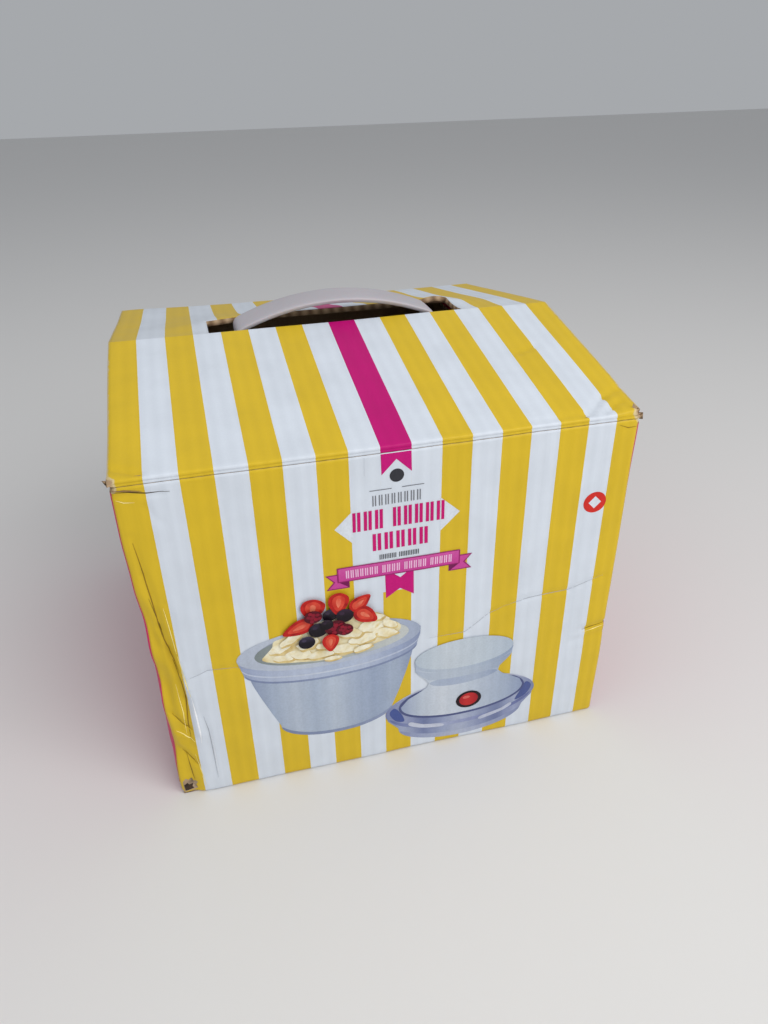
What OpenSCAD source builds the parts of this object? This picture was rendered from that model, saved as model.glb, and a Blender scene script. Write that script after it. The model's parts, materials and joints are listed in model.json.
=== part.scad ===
// A boxed ice cream maker. A striped corrugated carton with a carry handle holds the whole
// machine: a freezer bowl with its clear lid, motor unit, gear train and paddle.
// Millimetres, +Z up. The origin is the centre of the carton's footprint, the front faces -Y.

/* [Carton] */
// Width of the carton, left to right
carton_w = 250; // [246:1:270]
// Depth of the carton, front to back
carton_d = 250; // [246:1:270]
// Height of the four walls
wall_h = 200; // [198:1:215]
// Thickness of the corrugated board
board = 3; // [2.5:0.1:3.2]
// Rise of the lid's ridge above the walls
ridge_rise = 23; // [20:1:28]
// Distance of the ridge from the front face
ridge_from_front = 115; // [112:1:120]
// Gap left at a fold or a tucked edge
fold_gap = 0.3; // [0.2:0.1:0.5]
// Depth of the lid's tuck flap behind the front wall
tuck_depth = 32; // [20:1:40]
// Reach of each side dust flap
dust_flap_w = 30; // [20:1:31]

/* [Handle] */
// Span of the handle's arch
handle_span = 116; // [112:1:124]
// Rise of the arch above its feet
handle_rise = 13; // [11:1:20]
// Width of the handle's strap, front to back
strap_w = 25; // [18:1:26]
// Thickness of the strap
strap_t = 3; // [2:0.5:4]
// Length of the lid's handle slot
slot_w = 144; // [136:1:160]
// Width of the lid's handle slot, back from the ridge
slot_d = 30; // [29:1:32]

/* [Freezer bowl] */
// Outer radius of the bowl's rim
rim_r = 90; // [89:0.5:91]
// Height of the bowl
bowl_h = 105; // [104:0.5:106]
// Outer radius of the bowl's base
bowl_base_r = 57; // [55:0.5:58]

/* [Motor unit] */
// Outer radius of the clear lid
clear_r = 84; // [82:0.5:86]
// Height of the clear lid above the rim
clear_h = 16; // [15.5:0.5:18]
// Radius of the housing at its base
dome_r = 68; // [67:0.5:70]
// Radius of the housing's waist
waist_r = 38; // [36:0.5:40]
// Radius of the housing's flared top
crown_r = 53.5; // [50:0.5:56]
// Height of the waist above the housing's base
waist_h = 30; // [28:0.5:32]
// Height of the housing, cap included
housing_h = 63; // [61:0.5:65]
// Wall thickness of the moulded plastic parts
wall_t = 2.5; // [2:0.1:3]

/* [Button] */
// Radius of the red power button
button_r = 10; // [8:0.5:10.5]
// Outer radius of the black bezel
bezel_r = 14; // [13:0.5:14.5]
// Height of the button's centre above the housing's base
button_h = 12; // [11:0.5:13]

/* [Gears] */
// Teeth on the motor pinion
pinion_teeth = 10; // [9:1:12]
// Teeth on the large wheel of the idler
idler_wheel_teeth = 40; // [36:1:44]
// Teeth on the small pinion of the idler
idler_pinion_teeth = 12; // [11:1:14]
// Teeth on the output gear
output_teeth = 42; // [38:2:44]
// Module of the first pair
module_1 = 0.6; // [0.5:0.05:0.7]
// Module of the second pair
module_2 = 0.8; // [0.7:0.05:0.9]

/* [Hidden] */

fine_fn = 96;
small_fn = 40;

// Carton: the ridge line, the slopes and the levels of the folds
half_w = carton_w / 2;
half_d = carton_d / 2;
ridge_y = ridge_from_front - half_d;
ridge_z = wall_h + ridge_rise;
front_tilt = atan(ridge_rise / ridge_from_front);
back_tilt = atan(ridge_rise / (carton_d - ridge_from_front));
lid_low_z = wall_h - board;
wall_top_z = lid_low_z - fold_gap;
flap_top_z = lid_low_z - 0.1;
side_top_z = flap_top_z - board - fold_gap;
tuck_y = -half_d + board + 3.5;
floor_z = 2 * board;
pad_top_z = floor_z + 6;

// Levels of the machine
bowl_z = pad_top_z + 1;
rim_z = bowl_z + bowl_h;
dome_z = rim_z + clear_h;

// Cradle: a folded board that holds the bowl upright
cradle_top_z = 63;
cradle_half = half_d - board - 4;
cradle_hole_r = 74.5;

// Handle
handle_y = ridge_y + slot_d / 2;
arch_r = (pow(handle_span / 2, 2) + pow(handle_rise, 2)) / (2 * handle_rise);
arch_half = asin(handle_span / 2 / arch_r);
arch_foot_z = ridge_z - 1;
tee_z = ridge_z - 17;
tee_w = 38;

// Gear centres, along X
pair_1 = module_1 * (pinion_teeth + idler_wheel_teeth) / 2;
pair_2 = module_2 * (idler_pinion_teeth + output_teeth) / 2;
idler_x = -pair_2;
motor_x = idler_x + pair_1;
gear_low_z = dome_z + 1;
gear_high_z = dome_z + 6.6;
base_low = -3.9;
base_top = -0.3;
cover_z = dome_z + 11.5;
cover_t = 1.5;
cover_posts = [[24, 18], [24, -18], [-14, 28], [-14, -28]];
boss_angles = [60, 180, 300];
boss_ring_r = 52;
shaft_r = 4;
shaft_top_r = 3;
running_gap = 0.05;

// The housing's outline: a wide skirt that sweeps in to a waist and flares out again
crown_h = housing_h - 7;
skirt_power = 1.35;
function skirt_r(h) = waist_r + (dome_r - waist_r) * pow(1 - h / waist_h, skirt_power);
function flare_r(h) = waist_r + (crown_r - waist_r) * pow((h - waist_h) / (crown_h - waist_h), 2);
function outline_r(h) = h < waist_h ? skirt_r(h) : flare_r(h);
function skirt_slope(h) =
    skirt_power * (dome_r - waist_r) / waist_h * pow(1 - h / waist_h, skirt_power - 1);

// The button sits square to the skirt
button_tilt = atan(skirt_slope(button_h));
button_y = -skirt_r(button_h);

// A panel drawn as an outline in the YZ plane and run along X
module along_x(length) {
    rotate([90, 0, 90]) linear_extrude(length, center = true) children();
}

// A strap drawn as an outline in the XZ plane and run along Y
module along_y(length) {
    rotate([90, 0, 0]) linear_extrude(length, center = true) children();
}

// A block given by its lowest and highest corners
module block(low, high) {
    translate(low) cube(high - low);
}

// A ring or disc given by its inner and outer radius and its two levels
module ring(inner_r, outer_r, low_z, high_z, sides = fine_fn) {
    translate([0, 0, low_z]) difference() {
        cylinder(r = outer_r, h = high_z - low_z, $fn = sides);
        if (inner_r > 0)
            translate([0, 0, -1]) cylinder(r = inner_r, h = high_z - low_z + 2, $fn = sides);
    }
}

// Places its children on the skirt at the button, with +Z pointing out of the skirt
module at_button() {
    translate([0, button_y, dome_z + button_h]) rotate([90 - button_tilt, 0, 0]) children();
}

// Spur gear: involute flanks from the base circle out, with a stub tip on the larger wheels
function involute(base_r, roll) = let (turn = roll * 180 / PI)
    [base_r * (cos(turn) + roll * sin(turn)), base_r * (sin(turn) - roll * cos(turn))];
function spin_point(p, a) = [p[0] * cos(a) - p[1] * sin(a), p[0] * sin(a) + p[1] * cos(a)];
function flip_point(p) = [p[0], -p[1]];

module gear_outline(teeth, size, tip, root, phase) {
    pitch_r = teeth * size / 2;
    base_r = pitch_r * cos(20);
    tip_r = pitch_r + tip * size;
    root_r = pitch_r - root * size;
    backlash = 0.12;
    pitch_roll = tan(20);
    pitch_turn = (pitch_roll - 20 * PI / 180) * 180 / PI;
    half_tooth = 90 / teeth - backlash / pitch_r * 90 / PI + pitch_turn;
    tip_roll = sqrt(pow(tip_r / base_r, 2) - 1);
    steps = 4;
    flank = [for (i = [0:steps]) spin_point(involute(base_r, tip_roll * i / steps), -half_tooth)];
    low = min(root_r, base_r - 0.05);
    rising = concat([spin_point([low, 0], -half_tooth)], flank);
    falling = [for (i = [steps + 1:-1:0]) flip_point(rising[i])];
    polygon([for (k = [0:teeth - 1]) for (p = concat(rising, falling))
        spin_point(p, phase + k * 360 / teeth)]);
}

module gear(teeth, size, tip, root, phase, thickness, bore_r) {
    difference() {
        linear_extrude(thickness) gear_outline(teeth, size, tip, root, phase);
        translate([0, 0, -1]) cylinder(r = bore_r, h = thickness + 2, $fn = small_fn);
    }
}

// Carton walls and floor

module front_panel() {
    color("gold") block([-half_w, -half_d, board], [half_w, -half_d + board, wall_top_z]);
}

module back_panel() {
    color("gold") block([-half_w, half_d - board, board], [half_w, half_d, wall_top_z]);
}

module side_panel(side) {
    translate([side * (half_w - board / 2), 0, 0])
        block([-board / 2, -half_d + board, board], [board / 2, half_d - board, side_top_z]);
}

module left_panel() { color("mediumvioletred") side_panel(-1); }

module right_panel() { color("mediumvioletred") side_panel(1); }

module bottom_outer_flaps() {
    seam = 1;
    color("peru") {
        block([-half_w, -half_d, 0], [half_w, -seam / 2, board]);
        block([-half_w, seam / 2, 0], [half_w, half_d, board]);
    }
}

module bottom_inner_flaps() {
    flap_w = 85;
    color("peru") for (side = [-1, 1])
        translate([side * (half_w - board - fold_gap - flap_w / 2), 0, 0])
            block([-flap_w / 2, -half_d + board + 1, board], [flap_w / 2, half_d - board - 1, floor_z]);
}

// Strip that joins the left wall to the back wall, glued inside the corner
module glue_tab() {
    tab_w = 28;
    color("peru") block([-half_w + board, half_d - 2 * board, floor_z],
        [-half_w + board + tab_w, half_d - board, side_top_z - 4]);
}

module base_pad() {
    pad_half = 112;
    color("peru") block([-pad_half, -pad_half, floor_z], [pad_half, pad_half, pad_top_z]);
}

// Folded board with a round hole that steadies the bowl, and a skirt down each side
module bowl_cradle() {
    color("peru") {
        difference() {
            block([-cradle_half, -cradle_half, cradle_top_z - board],
                [cradle_half, half_d - 2 * board - 2, cradle_top_z]);
            translate([0, 0, cradle_top_z - board - 1])
                cylinder(r = cradle_hole_r, h = board + 2, $fn = fine_fn);
        }
        for (side = [-1, 1]) translate([side * (cradle_half - board / 2), 0, 0])
            block([-board / 2, -cradle_half, floor_z], [board / 2, cradle_half, cradle_top_z]);
    }
}

// Lid

module lid_front_slope() {
    drop = board / cos(front_tilt);
    inner_z = wall_h + board * tan(front_tilt) - drop;
    color("gold") along_x(carton_w) polygon([[-half_d, lid_low_z], [-half_d, wall_h],
        [ridge_y, ridge_z], [ridge_y, ridge_z - drop], [-half_d + board, inner_z],
        [-half_d + board, lid_low_z]]);
}

module lid_back_slope() {
    drop = board / cos(back_tilt);
    color("gold") difference() {
        along_x(carton_w) polygon([[ridge_y, ridge_z], [half_d, wall_h], [half_d, lid_low_z],
            [ridge_y, ridge_z - drop]]);
        block([-slot_w / 2, ridge_y, wall_h], [slot_w / 2, ridge_y + slot_d, ridge_z + 1]);
    }
}

// Tongue that tucks behind the front wall, with cut-back lower corners
module lid_tuck_flap() {
    top_z = wall_h + (tuck_y + half_d) * tan(front_tilt) - board / cos(front_tilt);
    bottom_z = wall_h - tuck_depth;
    top_half = half_w - board - 3;
    corner = 14;
    color("peru") translate([0, tuck_y + board / 2, 0]) along_y(board) polygon([
        [-top_half, top_z], [top_half, top_z], [top_half, bottom_z + corner],
        [top_half - corner, bottom_z], [-top_half + corner, bottom_z],
        [-top_half, bottom_z + corner]]);
}

// Arched strap whose legs pass through the slot and end in tees under the lid
module carry_handle() {
    centre_z = arch_foot_z + handle_rise - arch_r;
    steps = 16;
    outer = [for (i = [-steps:steps]) let (a = arch_half * i / steps)
        [arch_r * sin(a), centre_z + arch_r * cos(a)]];
    inner = [for (i = [steps:-1:-steps]) let (a = arch_half * i / steps)
        [(arch_r - strap_t) * sin(a), centre_z + (arch_r - strap_t) * cos(a)]];
    leg_x = handle_span / 2;
    color("lightgray") translate([0, handle_y, 0]) {
        along_y(strap_w) polygon(concat(outer, inner));
        for (side = [-1, 1]) {
            translate([side * (leg_x - strap_t / 2), 0, 0])
                block([-strap_t / 2, -strap_w / 2, tee_z], [strap_t / 2, strap_w / 2, arch_foot_z]);
            translate([side * (leg_x + 3), 0, 0])
                block([-6, -tee_w / 2, tee_z], [6, tee_w / 2, tee_z + strap_t]);
        }
    }
}

module dust_flap(side) {
    root_half = half_d - board - 6;
    tip_half = root_half - 12;
    inner_x = half_w - dust_flap_w;
    color("mediumvioletred") translate([0, 0, flap_top_z - board]) linear_extrude(board)
        polygon([[side * half_w, -root_half], [side * inner_x, -tip_half],
            [side * inner_x, tip_half], [side * half_w, root_half]]);
}

module left_dust_flap() { dust_flap(-1); }

module right_dust_flap() { dust_flap(1); }

// Freezer bowl

// Tapered outer wall with a stepped collar under the rim
module bowl_outer_shell() {
    color("aliceblue") translate([0, 0, bowl_z]) rotate_extrude($fn = fine_fn) polygon([
        [50, 0], [bowl_base_r, 0], [bowl_base_r + 1.5, 3], [rim_r - 7, 84], [rim_r - 3, 86],
        [rim_r - 3, 91], [rim_r, 92.2], [rim_r, bowl_h - 2], [rim_r - 2.5, bowl_h - 2],
        [rim_r - 2.5, 93.8], [rim_r - 5.5, 92.5], [rim_r - 5.5, 87.5], [rim_r - 9.4, 85.8],
        [bowl_base_r - 0.7, 2.5], [50, 2.5]]);
}

module bowl_liner() {
    color("silver") translate([0, 0, bowl_z]) rotate_extrude($fn = fine_fn) polygon([
        [0, 15.5], [44, 15.5], [52, 18.5], [55, 26], [73, 85], [73, bowl_h], [77, bowl_h],
        [77, bowl_h - 1.5], [74.5, bowl_h - 1.5], [74.5, 84.8], [56.6, 25.6], [53.2, 17.2],
        [44.5, 14], [0, 14]]);
}

// The sealed filling that is frozen before use
module freezing_gel() {
    color("lightblue") translate([0, 0, bowl_z]) rotate_extrude($fn = fine_fn) polygon([
        [0, 3], [bowl_base_r - 1.2, 3], [rim_r - 10, 85.8], [rim_r - 6, 88.2], [rim_r - 6, 93],
        [rim_r - 3, 94.6], [rim_r - 3, 100], [75, 100], [75, 84.6], [57.1, 25.3],
        [53.6, 16.6], [45, 13.6], [0, 13.6]]);
}

module bowl_rim_ring() {
    color("aliceblue") translate([0, 0, bowl_z]) rotate_extrude($fn = fine_fn) polygon([
        [77, bowl_h - 3], [77, bowl_h], [rim_r - 1.5, bowl_h], [rim_r, bowl_h - 1.4],
        [rim_r, bowl_h - 2], [rim_r - 2.5, bowl_h - 2], [rim_r - 2.5, bowl_h - 3]]);
}

module bowl_base_cap() {
    color("aliceblue") ring(0, 49.8, bowl_z + 0.5, bowl_z + 2.8);
}

module foot_ring() {
    color("dimgray") ring(50, bowl_base_r - 1, pad_top_z, bowl_z);
}

// Motor unit

// Clear ring that sits on the rim, with a skirt that centres it in the bowl
module clear_lid() {
    color([0.6, 0.6, 0.8, 0.5]) translate([0, 0, rim_z]) rotate_extrude($fn = fine_fn) polygon([
        [56, clear_h - wall_t], [56, clear_h], [clear_r - 4, clear_h], [clear_r - 0.5, clear_h - 3],
        [clear_r, 0.2], [clear_r - 2.5, 0.2], [clear_r - 3, clear_h - 4],
        [clear_r - 4.5, clear_h - wall_t], [72.5, clear_h - wall_t], [72.5, -16], [70, -16],
        [70, clear_h - wall_t]]);
}

module housing_seal() {
    color("dimgray") ring(60.5, 63.4, dome_z, dome_z + 0.8);
}

// Disc that closes the housing from below, clamps the clear lid and carries the gear train
module motor_base() {
    color("aliceblue") difference() {
        translate([0, 0, dome_z]) rotate_extrude($fn = fine_fn) polygon([
            [6, base_low], [60, base_low], [60, -wall_t - 0.1], [55.5, -wall_t - 0.1],
            [55.5, base_top], [6, base_top]]);
        for (a = boss_angles) rotate(a) translate([boss_ring_r, 0, dome_z + base_low - 1])
            cylinder(r = 1.6, h = 6, $fn = small_fn);
        translate([idler_x, 0, dome_z - 2.5]) cylinder(r = 1.5, h = 4, $fn = small_fn);
    }
}

// Hourglass cover: a wide skirt, a narrow waist to grip and a flared crown
module housing() {
    levels = [for (i = [0:10]) waist_h * i / 10];
    upper = [for (i = [1:9]) waist_h + (crown_h - waist_h) * i / 9];
    heights = concat(levels, upper);
    last = len(heights) - 1;
    outer = [for (h = heights) [outline_r(h), h]];
    inner = [for (i = [last:-1:1]) let (h = heights[i], rise = h < waist_h ? skirt_slope(h) : 0)
        [outline_r(h) - wall_t * sqrt(1 + rise * rise), h]];
    color("aliceblue") difference() {
        union() {
            translate([0, 0, dome_z + 0.1]) rotate_extrude($fn = fine_fn)
                polygon(concat(outer, inner, [[dome_r - wall_t, 0]]));
            for (a = boss_angles) rotate(a) translate([boss_ring_r, 0, dome_z - 0.2])
                cylinder(r = 3.5, h = 9.4, $fn = small_fn);
        }
        for (a = boss_angles) rotate(a) translate([boss_ring_r, 0, dome_z - 1])
            cylinder(r = 1.2, h = 5, $fn = small_fn);
        at_button() translate([0, 0, -8]) cylinder(r = bezel_r, h = 16, $fn = small_fn);
        translate([0, 0, dome_z + waist_h - 2]) rotate([-90, 0, 0]) {
            translate([0, 0, waist_r - 8]) cylinder(r = 4.5, h = 12, $fn = small_fn);
            translate([0, 0, waist_r + 0.7]) cylinder(r = 6.3, h = 9, $fn = small_fn);
        }
    }
}

// Slightly domed lid of the crown, with a spigot that drops inside it
module top_cap() {
    spigot_r = crown_r - wall_t - 2.8;
    color("white") translate([0, 0, dome_z]) rotate_extrude($fn = fine_fn) polygon([
        [0, housing_h - wall_t], [0, housing_h], [22, housing_h - 0.3], [40, housing_h - 1.4],
        [49, housing_h - 2.8], [crown_r, housing_h - 5], [crown_r + 0.3, crown_h + 0.9],
        [crown_r - 0.5, crown_h + 0.2], [spigot_r, crown_h + 0.2], [spigot_r, crown_h - 2],
        [spigot_r - 2, crown_h - 2], [spigot_r - 2, crown_h + 2], [40, housing_h - 1.4 - wall_t]]);
}

// Plate on four posts that carries the motor and the tops of the shafts
module gearbox_cover() {
    color("whitesmoke") difference() {
        union() {
            ring(0, 35, cover_z, cover_z + cover_t);
            for (p = cover_posts) translate([p[0], p[1], dome_z - 0.3])
                cylinder(r = 3, h = cover_z - dome_z + 0.3, $fn = small_fn);
        }
        for (p = cover_posts) translate([p[0], p[1], cover_z - 6])
            cylinder(r = 1.2, h = 8, $fn = small_fn);
        translate([0, 0, cover_z - 1]) cylinder(r = shaft_top_r + running_gap, h = 4, $fn = small_fn);
        translate([motor_x, 0, cover_z - 1]) cylinder(r = 2, h = 4, $fn = small_fn);
        translate([idler_x, 0, cover_z - 1]) cylinder(r = 1.5, h = 4, $fn = small_fn);
    }
}

module shaft_bush() {
    color("goldenrod") ring(shaft_r + running_gap, 6, dome_z - 4, dome_z + 0.6, small_fn);
}

module idler_pin() {
    color("silver") translate([idler_x, 0, dome_z - 2.5])
        cylinder(r = 1.5, h = cover_z + cover_t - dome_z + 2.5, $fn = small_fn);
}

module motor_can() {
    color("silver") translate([motor_x, 0, 0]) difference() {
        ring(0, 16, cover_z + cover_t, cover_z + cover_t + 32);
        translate([0, 0, cover_z]) cylinder(r = 1 + running_gap, h = 14, $fn = small_fn);
    }
}

module motor_end_cap() {
    low_z = cover_z + cover_t + 32;
    color("dimgray") translate([motor_x, 0, 0]) {
        ring(0, 15, low_z, low_z + 2.5, small_fn);
        for (side = [-1, 1]) block([side * 8 - 1, -2, low_z + 2], [side * 8 + 1, 2, low_z + 6]);
    }
}

module cover_screws() {
    color("silver") for (p = cover_posts) translate([p[0], p[1], cover_z + cover_t]) {
        cylinder(r = 2.4, h = 1.6, $fn = small_fn);
        translate([0, 0, -6]) cylinder(r = 1.2, h = 6.1, $fn = small_fn);
    }
}

module base_screws() {
    color("silver") for (a = boss_angles) rotate(a)
        translate([boss_ring_r, 0, dome_z + base_low - 1.5]) {
        cylinder(r = 2.8, h = 1.5, $fn = small_fn);
        cylinder(r = 1.2, h = 8.4, $fn = small_fn);
    }
}

module button_bezel() {
    color("black") at_button() rotate_extrude($fn = fine_fn) polygon([
        [button_r + 0.3, -2.4], [bezel_r, -2.4], [bezel_r, 1.6], [bezel_r - 1.2, 2.6],
        [button_r + 0.3, 2.6]]);
}

module power_button() {
    color("red") at_button() rotate_extrude($fn = fine_fn) polygon([
        [0, -0.4], [button_r, -0.4], [button_r, 2.6], [button_r - 1, 3.5], [button_r - 4, 4.1],
        [0, 4.4]]);
}

// Return spring under the button: a short coil swept along a helix
module button_spring() {
    wire_r = 0.25;
    coil_r = 4.2;
    turns = 3;
    rise = 2;
    around = 16;
    sides = 6;
    rings = turns * around;
    points = [for (i = [0:rings]) for (k = [0:sides - 1]) let (a = 360 * i / around,
        b = 360 * k / sides, r = coil_r + wire_r * cos(b))
        [r * cos(a), r * sin(a), -2.8 + rise * i / rings + wire_r * sin(b)]];
    walls = [for (i = [0:rings - 1]) for (k = [0:sides - 1]) let (n = (k + 1) % sides)
        [i * sides + k, (i + 1) * sides + k, (i + 1) * sides + n, i * sides + n]];
    ends = [[for (k = [0:sides - 1]) k], [for (k = [sides - 1:-1:0]) rings * sides + k]];
    color("silver") at_button() polyhedron(points, concat(walls, ends));
}

module power_switch() {
    color("dimgray") at_button() {
        block([-4, -4, -5.6], [4, 4, -3.1]);
        translate([0, 0, -3.2]) cylinder(r = 1.6, h = 0.9, $fn = small_fn);
    }
}

// Socket for the mains adapter's plug, at the back of the waist
module dc_inlet() {
    color("black") translate([0, 0, dome_z + waist_h - 2]) rotate([-90, 0, 0]) difference() {
        union() {
            translate([0, 0, waist_r - 12]) cylinder(r = 4.3, h = 13.2, $fn = small_fn);
            translate([0, 0, waist_r + 0.8]) cylinder(r = 6, h = 1, $fn = small_fn);
        }
        translate([0, 0, waist_r - 8]) cylinder(r = 2.75, h = 12, $fn = small_fn);
    }
}

// Moving train

module pinion() {
    color("goldenrod") translate([motor_x, 0, gear_high_z])
        gear(pinion_teeth, module_1, 0.9, 1.1, 0, 4.2, 1);
}

module motor_shaft() {
    color("silver") translate([motor_x, 0, gear_high_z]) cylinder(r = 1, h = 16, $fn = small_fn);
}

// Compound gear: the large wheel meets the motor pinion, the small one the output gear
module idler_gear() {
    color("whitesmoke") translate([idler_x, 0, 0]) {
        translate([0, 0, gear_low_z]) gear(idler_pinion_teeth, module_2, 0.9, 1.1,
            180 / idler_pinion_teeth, gear_high_z - gear_low_z, 1.5 + running_gap);
        translate([0, 0, gear_high_z]) gear(idler_wheel_teeth, module_1, 0.6, 1.2,
            180 / idler_wheel_teeth, 4, 1.5 + running_gap);
    }
}

module output_gear() {
    color("whitesmoke") translate([0, 0, gear_low_z])
        gear(output_teeth, module_2, 0.65, 1.2, 0, gear_high_z - gear_low_z - 0.6, shaft_r);
}

module output_shaft() {
    color("silver") {
        translate([0, 0, dome_z - 30]) cylinder(r = shaft_r, h = 36, $fn = small_fn);
        translate([0, 0, dome_z + 5.9]) cylinder(r = shaft_top_r, h = 6.6, $fn = small_fn);
    }
}

// One loop of the paddle: a flat frame that follows the liner's taper
module paddle_loop(low_half, high_half, low_h, high_h, bar) {
    shoulder_h = low_h + (high_h - low_h) * 0.75;
    along_y(3.5) difference() {
        polygon([[-low_half, low_h], [low_half, low_h], [high_half, shoulder_h],
            [high_half, high_h], [-high_half, high_h], [-high_half, shoulder_h]]);
        polygon([[-low_half + bar, low_h + bar], [low_half - bar, low_h + bar],
            [high_half - bar, shoulder_h], [high_half - bar, high_h - bar],
            [-high_half + bar, high_h - bar], [-high_half + bar, shoulder_h]]);
    }
}

// Churning frame: a tall loop and a low loop at right angles, on a stem that slips onto the
// output shaft
module paddle() {
    stem_low_z = bowl_z + 18;
    loop_low_z = bowl_z + 22;
    color("white") difference() {
        union() {
            ring(0, 7, stem_low_z, dome_z - 7, small_fn);
            paddle_loop(47, 63, loop_low_z, rim_z - 6, 8);
            rotate(90) paddle_loop(45, 49, loop_low_z, loop_low_z + 34, 7);
        }
        translate([0, 0, dome_z - 30]) cylinder(r = shaft_r, h = 40, $fn = small_fn);
    }
}

front_panel();
back_panel();
left_panel();
right_panel();
bottom_outer_flaps();
bottom_inner_flaps();
glue_tab();
base_pad();
bowl_cradle();
lid_front_slope();
lid_back_slope();
lid_tuck_flap();
carry_handle();
left_dust_flap();
right_dust_flap();
bowl_outer_shell();
bowl_liner();
freezing_gel();
bowl_rim_ring();
bowl_base_cap();
foot_ring();
clear_lid();
housing_seal();
motor_base();
housing();
top_cap();
gearbox_cover();
shaft_bush();
idler_pin();
motor_can();
motor_end_cap();
cover_screws();
base_screws();
button_bezel();
power_button();
button_spring();
power_switch();
dc_inlet();
pinion();
motor_shaft();
idler_gear();
output_gear();
output_shaft();
paddle();
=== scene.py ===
# Boxed ice cream maker: a striped corrugated carton with its machine inside.
import bmesh
import bpy
import json
import math
from mathutils import Matrix, Vector, noise


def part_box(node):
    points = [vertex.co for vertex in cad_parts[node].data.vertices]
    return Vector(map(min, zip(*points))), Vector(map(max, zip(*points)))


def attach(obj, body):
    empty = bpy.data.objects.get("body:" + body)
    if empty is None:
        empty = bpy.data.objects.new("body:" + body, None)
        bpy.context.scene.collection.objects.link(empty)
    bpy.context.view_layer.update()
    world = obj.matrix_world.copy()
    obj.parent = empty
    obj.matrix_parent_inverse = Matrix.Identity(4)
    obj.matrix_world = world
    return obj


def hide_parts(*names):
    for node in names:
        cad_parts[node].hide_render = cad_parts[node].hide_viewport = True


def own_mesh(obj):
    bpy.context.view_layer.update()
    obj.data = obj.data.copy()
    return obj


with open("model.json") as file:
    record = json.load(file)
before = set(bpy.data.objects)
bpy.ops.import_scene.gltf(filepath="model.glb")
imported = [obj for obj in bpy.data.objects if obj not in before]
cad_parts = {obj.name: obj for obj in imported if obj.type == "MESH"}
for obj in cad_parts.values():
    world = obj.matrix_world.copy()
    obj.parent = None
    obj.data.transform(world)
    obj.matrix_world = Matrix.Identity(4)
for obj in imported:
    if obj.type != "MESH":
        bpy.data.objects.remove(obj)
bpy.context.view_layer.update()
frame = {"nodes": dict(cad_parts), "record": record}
mm = 0.001
noise.seed_set(7)                        # the same unevenness at every run

boardThick = 3 * mm
frontLow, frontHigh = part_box("front_panel")
slopeLow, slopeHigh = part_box("lid_front_slope")
halfWide, halfDeep = frontHigh.x, -frontLow.y
wallTop = frontHigh.z            # cut edge of the front wall
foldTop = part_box("lid_back_slope")[0].z + boardThick   # height of the lid's folds
ridgeY, ridgeZ = slopeHigh.y, slopeHigh.z
halfSide, wallTall = 125, 200    # half width and wall height of the new carton, in mm


# Camera, floor and light

cameraSetup = {
    "place": (-81.75 * mm, -428 * mm, 354.5 * mm),
    "yaw": 14.15, "pitch": 31.2, "roll": -1.05,   # degrees: turned right, tipped down, rolled
    "lens": 27.04,
}


def makeCamera():
    yaw, pitch, roll = (math.radians(cameraSetup[k]) for k in ("yaw", "pitch", "roll"))
    ahead = Vector((math.sin(yaw) * math.cos(pitch), math.cos(yaw) * math.cos(pitch),
                    -math.sin(pitch)))
    right = Vector((math.cos(yaw), -math.sin(yaw), 0))
    up = right.cross(ahead)
    rolledRight = right * math.cos(roll) + up * math.sin(roll)
    rolledUp = up * math.cos(roll) - right * math.sin(roll)
    camera = bpy.data.objects.new("camera", bpy.data.cameras.new("camera"))
    turn = Matrix((rolledRight, rolledUp, -ahead)).transposed().to_4x4()
    camera.matrix_world = Matrix.Translation(cameraSetup["place"]) @ turn
    camera.data.lens = cameraSetup["lens"]
    camera.data.sensor_width = 36
    camera.data.clip_start = 0.01
    bpy.context.collection.objects.link(camera)
    bpy.context.scene.camera = camera


stageSetup = {
    "lamps": [                           # name, power, place, size, colour
        ("windowLight", 14, (0.55, -0.95, 1.05), 1.1, (1.0, 0.985, 0.96)),
        ("fillLight", 3.4, (-1.2, -0.6, 0.8), 1.4, (0.93, 0.96, 1.0)),
        ("topLight", 3.0, (0.1, 0.2, 1.6), 1.6, (1.0, 1.0, 1.0)),
    ],
    "aim": (0, 0, 0.1),
    "skyColour": (0.83, 0.86, 0.90, 1), "skyStrength": 0.46,
    "floorSize": 4, "floorColour": (0.72, 0.71, 0.70, 1), "floorRoughness": 0.7,
}


def makeLight(name, power, place, size, colour):
    lamp = bpy.data.lights.new(name, "AREA")
    lamp.energy = power
    lamp.size = size
    lamp.color = colour
    holder = bpy.data.objects.new(name, lamp)
    holder.location = place
    aim = Vector(stageSetup["aim"]) - Vector(place)
    holder.rotation_euler = aim.to_track_quat("-Z", "Y").to_euler()
    bpy.context.collection.objects.link(holder)


def makeStage():
    s = stageSetup
    for lamp in s["lamps"]:
        makeLight(*lamp)
    world = bpy.data.worlds.new("studio")
    bpy.context.scene.world = world
    world.use_nodes = True
    sky = world.node_tree.nodes["Background"]
    sky.inputs[0].default_value = s["skyColour"]
    sky.inputs[1].default_value = s["skyStrength"]
    bm = bmesh.new()
    bmesh.ops.create_grid(bm, x_segments=1, y_segments=1, size=s["floorSize"])
    mesh = bpy.data.meshes.new("floor")
    bm.to_mesh(mesh)
    bm.free()
    floor = bpy.data.objects.new("floor", mesh)
    bpy.context.collection.objects.link(floor)
    mesh.materials.append(startMaterial("paleFloor", Base_Color=s["floorColour"],
                                        Roughness=s["floorRoughness"])[0])
    bpy.context.scene.view_settings.view_transform = "Standard"


# Material helpers. A socket's name is written with _ for its spaces.

def startMaterial(name, **settings):
    material = bpy.data.materials.new(name)
    material.use_nodes = True
    shader = material.node_tree.nodes["Principled BSDF"]
    for socket, value in settings.items():
        shader.inputs[socket.replace("_", " ")].default_value = value
    return material, material.node_tree, shader


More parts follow.
